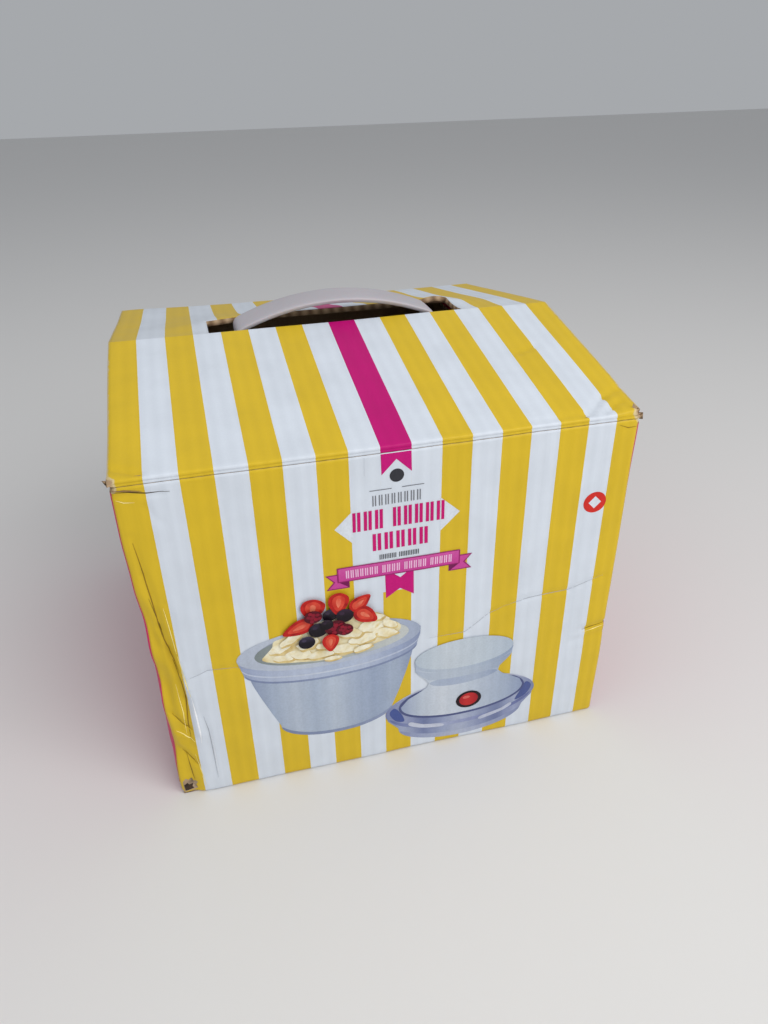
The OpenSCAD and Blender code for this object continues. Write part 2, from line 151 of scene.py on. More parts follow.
def feed(tree, shader, **sockets):
    for socket, value in sockets.items():
        tree.links.new(value, shader.inputs[socket.replace("_", " ")])


def addNode(tree, kind, sockets=None, **settings):
    node = tree.nodes.new(kind)
    for name, value in settings.items():
        setattr(node, name, value)
    for key, value in (sockets or {}).items():
        if isinstance(value, bpy.types.NodeSocket):
            tree.links.new(value, node.inputs[key])
        elif isinstance(value, tuple) and len(value) == 3 and node.inputs[key].type == "RGBA":
            node.inputs[key].default_value = (*value, 1)
        else:
            node.inputs[key].default_value = value
    return node


def mathNode(tree, operation, a, b=0.0, clamp=False):
    return addNode(tree, "ShaderNodeMath", {0: a, 1: b}, operation=operation,
                   use_clamp=clamp).outputs[0]


def plus(tree, a, b):
    return mathNode(tree, "ADD", a, b)


def minus(tree, a, b):
    return mathNode(tree, "SUBTRACT", a, b)


def times(tree, a, b, clamp=False):
    return mathNode(tree, "MULTIPLY", a, b, clamp)


def mixColour(tree, factor, a, b, blend="MIX"):
    return addNode(tree, "ShaderNodeMix", {"Factor": factor, 6: a, 7: b}, data_type="RGBA",
                   blend_type=blend).outputs[2]


# A grey ramp from two stops of place and tone
def toneRamp(tree, factor, *stops):
    node = addNode(tree, "ShaderNodeValToRGB", {0: factor})
    for element, (place, tone) in zip(node.color_ramp.elements, stops):
        element.position = place
        element.color = (tone, tone, tone, 1)
    return node.outputs[0]


def objectPlace(tree):
    coords = addNode(tree, "ShaderNodeTexCoord")
    split = addNode(tree, "ShaderNodeSeparateXYZ", {0: coords.outputs["Object"]})
    return coords.outputs["Object"], split.outputs


def noiseNode(tree, place, scale, detail=3.0, stretch=(1, 1, 1), rough=0.5):
    mapped = addNode(tree, "ShaderNodeMapping", {"Vector": place, "Scale": stretch}).outputs[0]
    return addNode(tree, "ShaderNodeTexNoise", {"Vector": mapped, "Scale": scale, "Detail": detail,
                                                "Roughness": rough}).outputs["Fac"]


def bumpNode(tree, height, distance, strength=1.0, below=None):
    sockets = {"Height": height, "Distance": distance, "Strength": strength}
    if below is not None:
        sockets["Normal"] = below
    return addNode(tree, "ShaderNodeBump", sockets).outputs[0]


# Printed board

inks = {
    "yellow": (0.672, 0.460, 0.022), "white": (0.655, 0.705, 0.78), "ribbon": (0.50, 0.001, 0.158),
    "side": (0.58, 0.030, 0.125), "kraft": (0.37, 0.235, 0.125), "kraftPale": (0.52, 0.37, 0.23),
    "kraftGrainAndShade": (0.17, 0.10, 0.055), "tornPaper": (0.62, 0.56, 0.48),
}
stripes = {"pitch": 14.85 * mm, "centre": 0.8 * mm, "blankDown": 118 * mm, "ragged": 0.012}
flutes = {"pitch": 6.4 * mm, "depth": 0.10 * mm, "strength": 0.55}
cockling = [(38, 2, 0.45 * mm, 0.45), (420, 4, 0.05 * mm, 0.35)]   # scale, detail, height, strength
worn = {"scuffFrom": 0.42, "tearFrom": 0.62, "ragged": 0.55, "scuffPale": 0.55}
printLook = {
    "base": 0.955, "fluteTone": 0.016, "streakTone": 0.06,   # brightness
    "dirt": ((0.2, 0.92), (0.65, 1)),                        # stops of place and tone
    "rough": 0.34, "roughSpread": 0.16, "gloss": 0.2,
}


def fluteWave(tree, along):
    return mathNode(tree, "SINE", times(tree, along, 2 * math.pi / flutes["pitch"]))


# Height of the paper: flutes, then broad cockling and the fine grain
def paperBump(tree, wave, place):
    bump = bumpNode(tree, wave, flutes["depth"], flutes["strength"])
    for scale, detail, height, strength in cockling:
        bump = bumpNode(tree, noiseNode(tree, place, scale, detail), height, strength, bump)
    return bump


# Where a piece is worn its print is scuffed to paper, and then torn to kraft
def wornColour(tree, colour, place):
    wear = addNode(tree, "ShaderNodeAttribute", attribute_name="wear").outputs["Fac"]
    ragged = minus(tree, noiseNode(tree, place, 260, 5, rough=0.7), 0.5)
    frayed = plus(tree, wear, times(tree, ragged, worn["ragged"]))
    scuffed = times(tree, minus(tree, frayed, worn["scuffFrom"]), 9, True)
    torn = times(tree, minus(tree, frayed, worn["tearFrom"]), 8, True)
    fibres = noiseNode(tree, place, 700, 3, (1, 1, 0.2))
    kraft = mixColour(tree, fibres, inks["kraft"], inks["kraftPale"])
    paleScuffAndHighlight = mixColour(tree, times(tree, scuffed, worn["scuffPale"]), colour, inks["tornPaper"])
    return mixColour(tree, torn, paleScuffAndHighlight, kraft)


def finishPrint(material, tree, shader, colour, place, places, axis="X"):
    look = printLook
    clouds = noiseNode(tree, place, 55, 4)
    wave = fluteWave(tree, places[axis])
    streaks = noiseNode(tree, place, 1.0, 3, (900, 900, 14))
    tone = plus(tree, times(tree, wave, look["fluteTone"]), look["base"])
    tone = plus(tree, times(tree, streaks, look["streakTone"]), tone)
    dirty = mixColour(tree, 1.0, colour, toneRamp(tree, clouds, *look["dirt"]), "MULTIPLY")
    lined = addNode(tree, "ShaderNodeVectorMath", {0: dirty, "Scale": tone}, operation="SCALE")
    feed(tree, shader, Base_Color=wornColour(tree, lined.outputs[0], place),
         Roughness=plus(tree, times(tree, clouds, look["roughSpread"]), look["rough"]),
         Normal=paperBump(tree, wave, place))
    return material


# Stripes with a centre stripe that is ribboned, or blank from blankDown up for the badge
def stripedPrint(name, ribboned):
    material, tree, shader = startMaterial(name, Specular_IOR_Level=printLook["gloss"])
    place, places = objectPlace(tree)
    along = mathNode(tree, "DIVIDE", minus(tree, places["X"], stripes["centre"]), stripes["pitch"])
    ragged = times(tree, minus(tree, noiseNode(tree, place, 300, 2), 0.5), stripes["ragged"])
    shifted = plus(tree, plus(tree, along, 0.5), ragged)
    odd = mathNode(tree, "FLOORED_MODULO", mathNode(tree, "FLOOR", shifted), 2.0)
    colour = mixColour(tree, odd, inks["yellow"], inks["white"])
    centre = mathNode(tree, "LESS_THAN", mathNode(tree, "ABSOLUTE", along), 0.5)
    if ribboned:
        colour = mixColour(tree, centre, colour, inks["ribbon"])
    else:
        high = mathNode(tree, "GREATER_THAN", places["Z"], stripes["blankDown"])
        colour = mixColour(tree, times(tree, centre, high), colour, inks["white"])
    return finishPrint(material, tree, shader, colour, place, places)


def sidePrint():
    material, tree, shader = startMaterial("sidePrint", Specular_IOR_Level=printLook["gloss"])
    place, places = objectPlace(tree)
    return finishPrint(material, tree, shader, inks["side"], place, places, "Y")


def kraftBoard():
    material, tree, shader = startMaterial("kraftBoard", Roughness=0.92, Specular_IOR_Level=0.2)
    place = objectPlace(tree)[0]
    fibres = noiseNode(tree, place, 600, 5, (1, 1, 0.25), 0.7)
    blotches = toneRamp(tree, noiseNode(tree, place, 45, 3), (0.2, 0.8), (0.75, 1))
    colour = mixColour(tree, fibres, inks["kraft"], inks["kraftPale"])
    feed(tree, shader, Base_Color=mixColour(tree, 1.0, colour, blotches, "MULTIPLY"),
         Normal=bumpNode(tree, fibres, 0.12 * mm, 0.6))
    return material


def cutEdge():
    material, tree, shader = startMaterial("cutBoardEdge", Roughness=0.95, Specular_IOR_Level=0.15)
    place, places = objectPlace(tree)
    # The edge darkens in a wave along the flutes: painted shade in the hollows between them, mixed
    # with the fibre grain
    ripple = fluteWave(tree, plus(tree, places["X"], places["Y"]))
    fibres = noiseNode(tree, place, 900, 4)
    shade = plus(tree, times(tree, plus(tree, ripple, 1.0), 0.35), times(tree, fibres, 0.3))
    feed(tree, shader, Base_Color=mixColour(tree, shade, inks["kraftPale"], inks["kraftGrainAndShade"]),
         Normal=bumpNode(tree, ripple, 0.5 * mm, 0.5))
    return material


# Shape of the worn carton

knocks = {
    "wave": 0.5 * mm, "fineWave": 0.12 * mm,     # unevenness of a used board
    "crushReach": 11 * mm, "crushPush": 5.5 * mm, "crushFold": 4 * mm, "crushWay": (0.35, 0.95, 0),
    "crushHeights": (172, 95, 60, 6),            # where the crush starts, is full, fades and ends
    # Pushes in mm: how far, the middle's two places, and the reach each way
    "rightBulge": (2.6, -119, 186, 9, 26), "backLift": (2.4, -118, 118, 45, 40),
    "slotCorner": (2.4, 66, 20, 9, 7), "frontCurl": (1, 125, -125, 12, 14),
    "slotLift": 4.2, "slotLiftDeep": 34, "slotLiftWide": 88,
    "curlWay": (-0.6, 0.5, 1.3),                 # how the lid's right front corner lifts, in mm
    # Creases on the front: x1, z1, x2, z2, width, depth in mm
    "creases": [
        (-120, 172, -118.5, 150, 1.0, 1.0), (-118.5, 150, -117.5, 118, 1.1, 1.2),
        (-117.5, 118, -113, 88, 1.3, 1.4), (-113.5, 130, -112.5, 104, 1.0, -1.0),
        (-112.5, 104, -110, 78, 1.1, -1.2), (-110, 78, -108, 44, 1.1, -1.1),
        (-115.5, 104, -112.4, 70, 1.5, 1.5), (-112.4, 70, -113.5, 40, 1.5, 1.4),
        (-122, 62, -112, 48, 1.0, 1.0), (-121, 46, -111, 38, 1.0, -0.9),
        (-120, 34, -112, 22, 1.1, 1.1), (-118, 30, -116, 8, 1.1, 1.1),
        (-113, 30, -110, 6, 1.0, -0.7), (-104.5, 58, -103, 46, 0.9, 0.6),
        (-103, 46, -102.6, 10, 0.9, 0.7), (-109, 84, -98, 88, 1.3, 0.45),
        (-98, 88, -84, 86.5, 1.3, 0.45), (-84, 86.5, -70, 82, 1.3, 0.4),
        (18, 82, 40, 82, 1.2, 0.35), (40, 82, 53, 92, 1.2, 0.45), (53, 92, 72, 97.5, 1.2, 0.5),
        (72, 97.5, 100, 98, 1.2, 0.5), (100, 98, 119, 104, 1.2, 0.55),
        (110, 67, 125, 69.5, 1.5, 1.3), (104, 60, 125, 63, 2.4, 0.5),
        (-125, 193.4, -104, 191.6, 1.0, 0.9), (-112, 186, -106, 176, 1.2, 0.5),
    ],
    # Creases on the lid: x1, y1, x2, y2, width, depth in mm
    "lidCreases": [
        (97, -122, 112, -109, 1.4, 1.5), (107, -122, 118, -115, 1.3, 1.3),
        (112, -109, 124, -103, 1.4, 1.0), (-124, -116, -112, -122, 1.4, 1.3),
        (86, -62, 99, -56, 1.4, 0.8), (70, -122, 97, -120, 1.3, 0.6),
    ],
}


def segmentDistance(x, z, ax, az, bx, bz):
    dx, dz = bx - ax, bz - az
    t = max(0.0, min(1.0, ((x - ax) * dx + (z - az) * dz) / (dx * dx + dz * dz)))
    return math.hypot(x - ax - t * dx, z - az - t * dz)


def smoothStep(low, high, value):
    t = max(0.0, min(1.0, (value - low) / (high - low)))
    return t * t * (3 - 2 * t)


# A push that is full in its middle and fades over its reach each way
def push(name, x, y):
    far, middleX, middleY, wide, deep = knocks[name]
    return far * math.exp(-((x - middleX) / wide) ** 2 - ((y - middleY) / deep) ** 2)


tears = [                                # where corners are torn: x, y, z and reach in mm
    (-125, -125, 196.7, 3.4), (125, -125, 196.7, 2.6), (-125, -125, 0, 5.2),
    (-125, -125, 200, 3.2), (125, -125, 200, 4.4),
]
wearSetup = {                            # how much wear shows, and how wide its band is in mm
    "corner": 0.44, "cornerWide": 2.6, "lidSide": 0.62, "lidSideWide": 1.3, "tearWide": 1.05,
}


def tornBack(p):
    for x, y, z, reach in tears:
        centre = Vector((x, y, z)) * mm
        gap = p - centre
        far = gap.length
        ragged = 0.6 + 0.75 * noise.noise(gap * 700 + centre * 50)
        edge = reach * mm * ragged
        if far < edge:
            away = gap / far if far > 1e-6 else Vector((-x, -y, 100 - z)).normalized()
            p = centre + away * edge
    return p


def boardWave(p):
    fine = noise.noise_vector(p * 60) * knocks["fineWave"]
    return noise.noise_vector(p * 17) * knocks["wave"] + fine


def creaseDepth(x, y, creases):
    depth = 0.0
    for ax, ay, bx, by, width, deep in creases:
        far = segmentDistance(x, y, ax, ay, bx, by)
        if far < width * 3:
            depth += deep * mm * math.exp(-(far / width) ** 2)
    return depth


# Where a point of the new carton's skin has gone after years of use
def wornCarton(p):
    x, y, z = p / mm
    moved = p + boardWave(p)
    corner = math.hypot(x + halfSide, y + halfSide)
    start, full, fade, end = knocks["crushHeights"]
    crush = smoothStep(start, full, z) * (0.6 + 0.4 * smoothStep(end, fade, z))
    hold = crush * math.exp(-(corner * mm / knocks["crushReach"]) ** 2)
    folds = noise.noise(Vector((x * 0.16 + z * 0.02, y * 0.16, z * 0.045)))
    moved += Vector(knocks["crushWay"]) * hold * (knocks["crushPush"] + folds * knocks["crushFold"])
    if x > 124 and y > -124:             # the right wall stands out behind its crushed corner
        moved.x += push("rightBulge", y, z) * smoothStep(-124.5, -120.5, y) * mm
    if y < -110:
        moved.y += creaseDepth(x, z, knocks["creases"])
    return tornBack(moved)


def wearAt(p):
    w = wearSetup
    x, y, z = p / mm
    amount = 0.0
    for tx, ty, tz, reach in tears:
        far = (p / mm - Vector((tx, ty, tz))).length
        amount = max(amount, math.exp(-(far / (reach * w["tearWide"])) ** 2))
    left = math.hypot(x + halfSide, y + halfSide)
    right = math.hypot(x - halfSide, y + halfSide) * 1.5   # the right corner is less worn
    amount = max(amount, w["corner"] * math.exp(-(min(left, right) / w["cornerWide"]) ** 2))
    if z > 198.5:                        # the lid's side edges
        side = abs(abs(x) - halfSide)
        amount = max(amount, w["lidSide"] * math.exp(-(side / w["lidSideWide"]) ** 2))
    return amount


# Building boards

# Points along a bent line, with each inner corner rounded
def foldedLine(corners, radius, step):
    line = [Vector(corners[0])]
    for before, here, after in zip(corners, corners[1:], corners[2:]):
        before, here, after = Vector(before), Vector(here), Vector(after)
        inward, outward = (before - here).normalized(), (after - here).normalized()
        turn = math.pi - inward.angle(outward)
        if turn < 0.02:
            line.append(here)
            continue
        cut = radius * math.tan(turn / 2)
        start, end = here + inward * cut, here + outward * cut
        for t in (0, 1 / 3, 2 / 3, 1):
            line.append(start * (1 - t) ** 2 + here * 2 * t * (1 - t) + end * t * t)
    line.append(Vector(corners[-1]))
    full = [line[0]]
    for a, b in zip(line, line[1:]):
        parts = max(1, round((b - a).length / step))
        full += [a.lerp(b, (i + 1) / parts) for i in range(parts)]
    return full


# A sheet made by drawing a line of points through a list of shifts
def sweepSheet(bm, line, shifts):
    ring = [bm.verts.new(point + shifts[0]) for point in line]
    edges = [bm.edges.new(pair) for pair in zip(ring, ring[1:])]
    for here, there in zip(shifts, shifts[1:]):
        grown = bmesh.ops.extrude_edge_only(bm, edges=edges)["geom"]
        fresh = {g for g in grown if isinstance(g, bmesh.types.BMVert)}
        bmesh.ops.translate(bm, verts=list(fresh), vec=there - here)
        edges = [g for g in grown
                 if isinstance(g, bmesh.types.BMEdge) and fresh.issuperset(g.verts)]


# Turns a sheet's faces so that most look the way that outward says
def faceOutwards(bm, outward):
    bm.normal_update()
    votes = sum(1 if f.normal.dot(outward(f.calc_center_median())) > 0 else -1 for f in bm.faces)
    if votes < 0:
        bmesh.ops.reverse_faces(bm, faces=bm.faces)


def finishPiece(bm, name, body, materials, worn=False):
    if worn:
        layer = bm.verts.layers.float.new("wear")
        for v in bm.verts:
            v[layer] = wearAt(v.co)
    mesh = bpy.data.meshes.new(name)
    bm.to_mesh(mesh)
    bm.free()
    for material in materials:
        mesh.materials.append(material)
    for face in mesh.polygons:
        face.use_smooth = True
    piece = bpy.data.objects.new(name, mesh)
    bpy.context.collection.objects.link(piece)
    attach(piece, body)
    return piece


def boardSkins(paints, outside):
    return [paints[outside], paints["kraft"], paints["cut"]]


# The inside and the rim take the second and the third of a piece's materials
def giveThickness(piece, thick, inside=1, rim=2):
    solid = piece.modifiers.new("thickness", "SOLIDIFY")
    solid.thickness = thick
    solid.offset = -1
    solid.material_offset = inside
    solid.material_offset_rim = rim


wallSetup = {"fold": 2.4 * mm, "columns": 140, "rows": 110, "hidden": (62, 48), "left": (82, 64)}
cartonCorners = [Vector((-halfWide, -halfDeep, 0)), Vector((halfWide, -halfDeep, 0)),
                 Vector((halfWide, halfDeep, 0)), Vector((-halfWide, halfDeep, 0))]


# One wall's outer skin, with half of the rounded fold at each side and at the bottom
def wallSkin(bm, start, top, columns, rows):
    a, b = cartonCorners[start], cartonCorners[(start + 1) % 4]
    along = (b - a).normalized()
    inward = Vector((-along.y, along.x, 0))
    fold = wallSetup["fold"]
    first, last = a + (along + inward) * fold, b + (inward - along) * fold
    bend = [(math.cos(angle), math.sin(angle)) for angle in (math.pi / 4, math.pi / 8, 0)]
    line = [first - (inward * c + along * s) * fold for c, s in bend[:2]]
    line += [first.lerp(last, i / columns) - inward * fold for i in range(columns + 1)]
    line += [last - (inward * c - along * s) * fold for c, s in reversed(bend[:2])]
    heights = [0, 0.25 * fold, 0.6 * fold]
    heights += [fold + (top - fold) * i / rows for i in range(rows + 1)]
    sweepSheet(bm, line, [Vector((0, 0, height)) for height in heights])
    core = Vector((halfWide - fold, halfDeep - fold))
    for v in bm.verts:
        if v.co.z < fold:                # the bottom fold
            turned = math.sqrt(max(0, 1 - ((fold - v.co.z) / fold) ** 2))
            centreX = max(-core.x, min(core.x, v.co.x))
            centreY = max(-core.y, min(core.y, v.co.y))
            v.co.x = centreX + (v.co.x - centreX) * turned
            v.co.y = centreY + (v.co.y - centreY) * turned


def makeWalls(paints):
    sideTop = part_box("left_panel")[1].z
    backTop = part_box("back_panel")[1].z
    s = wallSetup
    plan = [                             # name, node, first corner, height, grid, paint, slot
        ("frontWall", "front_panel", 0, wallTop, (s["columns"], s["rows"]), "stripes",
         "front_print"),
        ("rightWall", "right_panel", 1, sideTop, s["hidden"], "side", "side_print"),
        ("backWall", "back_panel", 2, backTop, s["hidden"], "ribboned", "front_print"),
        ("leftWall", "left_panel", 3, sideTop, s["left"], "side", "side_print"),
    ]
    for name, node, start, top, grid, paint, slot in plan:
        bm = bmesh.new()
        wallSkin(bm, start, top, *grid)
        middle = (cartonCorners[start] + cartonCorners[(start + 1) % 4]) / 2
        faceOutwards(bm, lambda centre: middle)
        for v in bm.verts:
            v.co = wornCarton(v.co)
            v.co.z = max(v.co.z, 0)
        wall = finishPiece(bm, name, "carton", boardSkins(paints, paint), worn=True)
        giveThickness(wall, boardThick)
        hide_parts(node)
    print("walls made")


# A flat board from its outline, cut on a grid so that it can take a warp
def cutOnGrid(bm, outline, gap, axes=(0, 1)):
    verts = [bm.verts.new(point) for point in outline]
    geom = [bm.faces.new(verts)]
    geom += list(geom[0].edges) + verts
    for axis in axes:
        low, high = min(v.co[axis] for v in verts), max(v.co[axis] for v in verts)
        place = math.floor(low / gap) * gap + gap
        while place < high - gap * 0.05:
            at, normal = [0, 0, 0], [0, 0, 0]
            at[axis], normal[axis] = place, 1
            made = bmesh.ops.bisect_plane(bm, geom=geom, dist=1e-7, plane_co=at, plane_no=normal)
            geom = list(set(made["geom"] + made["geom_cut"]))
            place += gap


flapSetup = {
    "gap": 6 * mm,                       # of the grid that lets a board warp
    "sag": 0.8 * mm, "slope": 12 * mm, "clip": 5 * mm, "corner": 6 * mm,
    "tuckCorner": 22 * mm, "bottomInset": 2.6 * mm, "seam": 0.6 * mm, "opening": 62 * mm,
    "thinner": {"dust": 0.4 * mm, "tuck": 0.8 * mm, "bottom": 0.4 * mm},
}


def makeDustFlaps(paints):
    s = flapSetup
    skins = boardSkins(paints, "side")
    for side, name, node, body in ((-1, "dustFlapLeft", "left_dust_flap", "left_flap"),
                                   (1, "dustFlapRight", "right_dust_flap", "right_flap")):
        low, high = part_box(node)
        root, tip = (low.x, high.x) if side < 0 else (high.x, low.x)
        root -= side * 0.4 * mm
        clipped, tipHalf = tip + side * s["clip"], high.y - s["slope"]
        outline = [(root, -high.y), (clipped, -tipHalf - 2 * mm), (tip, -tipHalf + s["corner"]),
                   (tip, tipHalf - s["corner"]), (clipped, tipHalf + 2 * mm), (root, high.y)]
        bm = bmesh.new()
        cutOnGrid(bm, [(x, y, high.z) for x, y in outline], s["gap"])
        faceOutwards(bm, lambda centre: Vector((0, 0, 1)))
        for v in bm.verts:
            reach = abs(v.co.x - root) / abs(tip - root)
            v.co.z -= s["sag"] * reach ** 2 * (0.6 + 0.4 * math.cos(v.co.y * 16))
            v.co.z += noise.noise(v.co * 40) * 0.25 * mm * reach
        flap = finishPiece(bm, name, body, skins)
        giveThickness(flap, boardThick - s["thinner"]["dust"])
        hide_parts(node)


def makeTuckFlap(paints):
    s = flapSetup
    low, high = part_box("lid_tuck_flap")
    wide, corner = high.x, s["tuckCorner"]
    half = [(wide - corner, low.z), (wide - 8 * mm, low.z + 7 * mm),
            (wide - 3 * mm, low.z + corner), (wide, high.z)]
    outline = [(-x, z) for x, z in reversed(half)] + half
    bm = bmesh.new()
    cutOnGrid(bm, [(x, low.y, z) for x, z in outline], s["gap"], axes=(0, 2))
    faceOutwards(bm, lambda centre: Vector((0, -1, 0)))
    for v in bm.verts:
        v.co.y += noise.noise(v.co * 22) * 0.35 * mm + 0.4 * mm
    tuck = finishPiece(bm, "tuckFlap", "lid",
                       boardSkins(paints, "ribboned"))
    giveThickness(tuck, boardThick - s["thinner"]["tuck"])
    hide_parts("lid_tuck_flap")


# Two pairs across each other. The outer pair meets at a seam and the inner one leaves an opening.
def makeBottomFlaps(paints):
    s = flapSetup
    inset = halfWide - s["bottomInset"]
    skins = boardSkins(paints, "kraft")
    plan = [("bottomFlapsOuter", "bottom_outer_flaps", 0.25 * mm, s["seam"], inset, False),
            ("bottomFlapsInner", "bottom_inner_flaps", 3.2 * mm, s["opening"], inset - 2 * mm,
             True)]
    for name, node, base, near, wide, turned in plan:
        bm = bmesh.new()
        for side in (-1, 1):
            corners = [(-wide, side * near), (wide, side * near), (wide, side * wide),
                       (-wide, side * wide)]
            if turned:
                corners = [(y, x) for x, y in corners]
            cutOnGrid(bm, [(x, y, base) for x, y in corners], 2 * s["gap"])
        bm.normal_update()
        bmesh.ops.reverse_faces(bm, faces=[f for f in bm.faces if f.normal.z > 0])
        for v in bm.verts:
            v.co.z += (noise.noise(v.co * 30) + 1) * 0.06 * mm
        board = finishPiece(bm, name, "carton", skins)
        giveThickness(board, boardThick - s["thinner"]["bottom"])
        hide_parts(node)


# Lid

lidSetup = {
    "foldRadius": 1.3 * mm, "step": 2.2 * mm, "slotHalf": 72.5 * mm, "slotFront": 1.0 * mm,
    "slotDeep": 30 * mm, "slotBack": 20,         # the slot's back edge, in mm from the middle
    "groove": [(0.8, 0), (1.3, 0.45), (1.8, 0)],   # over the cut edge: height and depth in mm
}


def wornLid(p):
    x, y, z = p / mm
    high = smoothStep(198, 206, z)
    above = noise.noise_vector(p * 15 + Vector((3, 1, 2))) * knocks["wave"]
    moved = p + boardWave(p) * (1 - high) + above * high
    curl = push("frontCurl", x, y) * smoothStep(198, 200, z)
    moved += Vector(knocks["curlWay"]) * curl * mm
    lift = push("backLift", x, y)
    if y > ridgeY / mm + 2:              # behind the slot the board is pulled up by the handle
        past = (y - lidSetup["slotBack"]) / knocks["slotLiftDeep"]
        pull = math.exp(-past ** 2 - (x / knocks["slotLiftWide"]) ** 4) * smoothStep(-10, 20, y)
        lift += knocks["slotLift"] * pull + push("slotCorner", x, y)
    moved.z += lift * mm * smoothStep(198, 201, z)
    if z > 199 and y < ridgeY / mm:
        moved.z -= creaseDepth(x, y, knocks["lidCreases"])
    return tornBack(moved)


def makeLid(paints):
    s = lidSetup
    low = slopeLow.z - 0.1 * mm
    slotBackY = ridgeY + s["slotDeep"]
    slotBackZ = ridgeZ - (ridgeZ - foldTop) * s["slotDeep"] / (halfDeep - ridgeY)
    line = foldedLine([(0, -halfDeep, low), (0, -halfDeep, foldTop), (0, ridgeY, ridgeZ),
                       (0, slotBackY, slotBackZ), (0, halfDeep, foldTop), (0, halfDeep, low)],
                      s["foldRadius"], s["step"])
    line[1:1] = [Vector((0, -halfDeep + deep * mm, low + up * mm)) for up, deep in s["groove"]]
    # The fold's own points make room for the groove's
    line = line[:4] + [point for point in line[4:] if point.z > low + 1.9 * mm or point.y > 0]
    count = round(2 * halfWide / s["step"])
    shifts = [Vector((-halfWide + 2 * halfWide * i / count, 0, 0)) for i in range(count + 1)]
    bm = bmesh.new()
    sweepSheet(bm, line, shifts)
    faceOutwards(bm, lambda centre: Vector((0, centre.y, 0.1)))
    centres = [(face, face.calc_center_median()) for face in bm.faces]
    inSlot = [face for face, centre in centres if abs(centre.x) < s["slotHalf"]
              and ridgeY + s["slotFront"] < centre.y < slotBackY]
    bmesh.ops.delete(bm, geom=inSlot, context="FACES")
    for v in bm.verts:
        v.co = wornLid(v.co)
    lid = finishPiece(bm, "lidBoard", "lid", boardSkins(paints, "ribboned"),
                      worn=True)
    giveThickness(lid, boardThick)
    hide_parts("lid_front_slope", "lid_back_slope")
    print("lid made")


# Carry handle

handleSetup = {
    "wide": 25 * mm, "thick": 2.6 * mm, "span": 116 * mm, "rise": 13 * mm, "lip": 1.1 * mm,
    "footLong": 12 * mm, "footTall": 3 * mm, "footRound": 1.1 * mm,
}


def makeHandle(plastic):
    s = handleSetup
    low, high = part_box("carry_handle")
    middleY = (low.y + high.y) / 2
    foot = ridgeZ - 1 * mm
    half = s["span"] / 2
    radius = (half ** 2 + s["rise"] ** 2) / (2 * s["rise"])
    reach = math.asin(half / radius)
    leg = [(half - 0.6 * mm, foot - 7 * mm), (half - 1.5 * mm, low.z + 2 * mm)]
    arch = []
    for i in range(-10, 11):
        angle = reach * i / 10
        arch.append((radius * math.sin(angle), foot + s["rise"] - radius * (1 - math.cos(angle))))
    line = [Vector((x, 0, z)) for x, z in [(-x, z) for x, z in reversed(leg)] + arch + leg]
    spread = [-1, -0.93, -0.8, -0.35, 0, 0.35, 0.8, 0.93, 1]
    shifts = [Vector((0, middleY + t * s["wide"] / 2, -s["lip"] * abs(t) ** 8)) for t in spread]
    bm = bmesh.new()
    sweepSheet(bm, line, shifts)
    faceOutwards(bm, lambda centre: Vector((centre.x * 0.3, 0, 1)))
    handle = finishPiece(bm, "carryHandle", "handle", [plastic])
    giveThickness(handle, s["thick"], 0, 0)
    rounding = handle.modifiers.new("rounding", "SUBSURF")
    rounding.levels = rounding.render_levels = 2
    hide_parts("carry_handle")
    bm = bmesh.new()
    for side in (-1, 1):
        size = (s["footLong"], high.y - low.y, s["footTall"], 1)
        place = Vector((side * (half + 3 * mm), middleY, low.z + s["footTall"] / 2))
        sized = Matrix.Translation(place) @ Matrix.Diagonal(size)
        made = bmesh.ops.create_cube(bm, size=1, matrix=sized)
        edges = list({e for v in made["verts"] for e in v.link_edges})
        bmesh.ops.bevel(bm, geom=edges, offset=s["footRound"], segments=3, profile=0.5,
                        affect="EDGES", material=-1)
    finishPiece(bm, "handleFeet", "handle", [plastic])
    print("handle made")


# Printed shapes on the front. Their places run right and down from its top left corner, in mm.
printSetup = {"lift": 0.08, "step": 0.032, "thick": 0.02 * mm}
skinCache = {}


def skinCorner(i, j):
    if (i, j) not in skinCache:
        fold = wallSetup["fold"]
        wide = (2 * halfWide - 2 * fold) / wallSetup["columns"]
        tall = (wallTop - fold) / wallSetup["rows"]
        place = Vector((-halfWide + fold + i * wide, -halfDeep, fold + j * tall))
        skinCache[i, j] = (place, wornCarton(place))
    return skinCache[i, j]


# The point of the worn front wall that shows at a place of the new one
def onFront(x, z):
    first, last = skinCorner(0, 0)[0], skinCorner(wallSetup["columns"], wallSetup["rows"])[0]
    column = (x - first.x) / (last.x - first.x) * wallSetup["columns"]
    row = (z - first.z) / (last.z - first.z) * wallSetup["rows"]
    i = max(0, min(wallSetup["columns"] - 1, math.floor(column)))
    j = max(0, min(wallSetup["rows"] - 1, math.floor(row)))
    low = skinCorner(i, j)[1].lerp(skinCorner(i + 1, j)[1], column - i)
    high = skinCorner(i, j + 1)[1].lerp(skinCorner(i + 1, j + 1)[1], column - i)
    return low.lerp(high, row - j)


# A shader's colour from values of 0 to 255
def linear(colour):
    return tuple(v / 255 / 12.92 if v <= 10 else ((v / 255 + 0.055) / 1.055) ** 2.4 for v in colour)


# A rule that runs through a row of colours as way goes from 0 to 1
def shading(way, colours):
    tones = [linear(colour) for colour in colours]

    def shade(x, y):
        t = max(0.0, min(0.9999, way(x, y))) * (len(tones) - 1)
        a, b = tones[int(t)], tones[int(t) + 1]
        return tuple(p + (q - p) * (t - int(t)) for p, q in zip(a, b))

    return shade


def across(low, high, *colours):
    return shading(lambda x, y: (x - low) / (high - low), colours)


def down(low, high, *colours):
    return shading(lambda x, y: (y - low) / (high - low), colours)


def mottled(size, *colours):
    return shading(lambda x, y: 0.5 + 0.75 * noise.noise(Vector((x / size, y / size, 3.3))),
                   colours)


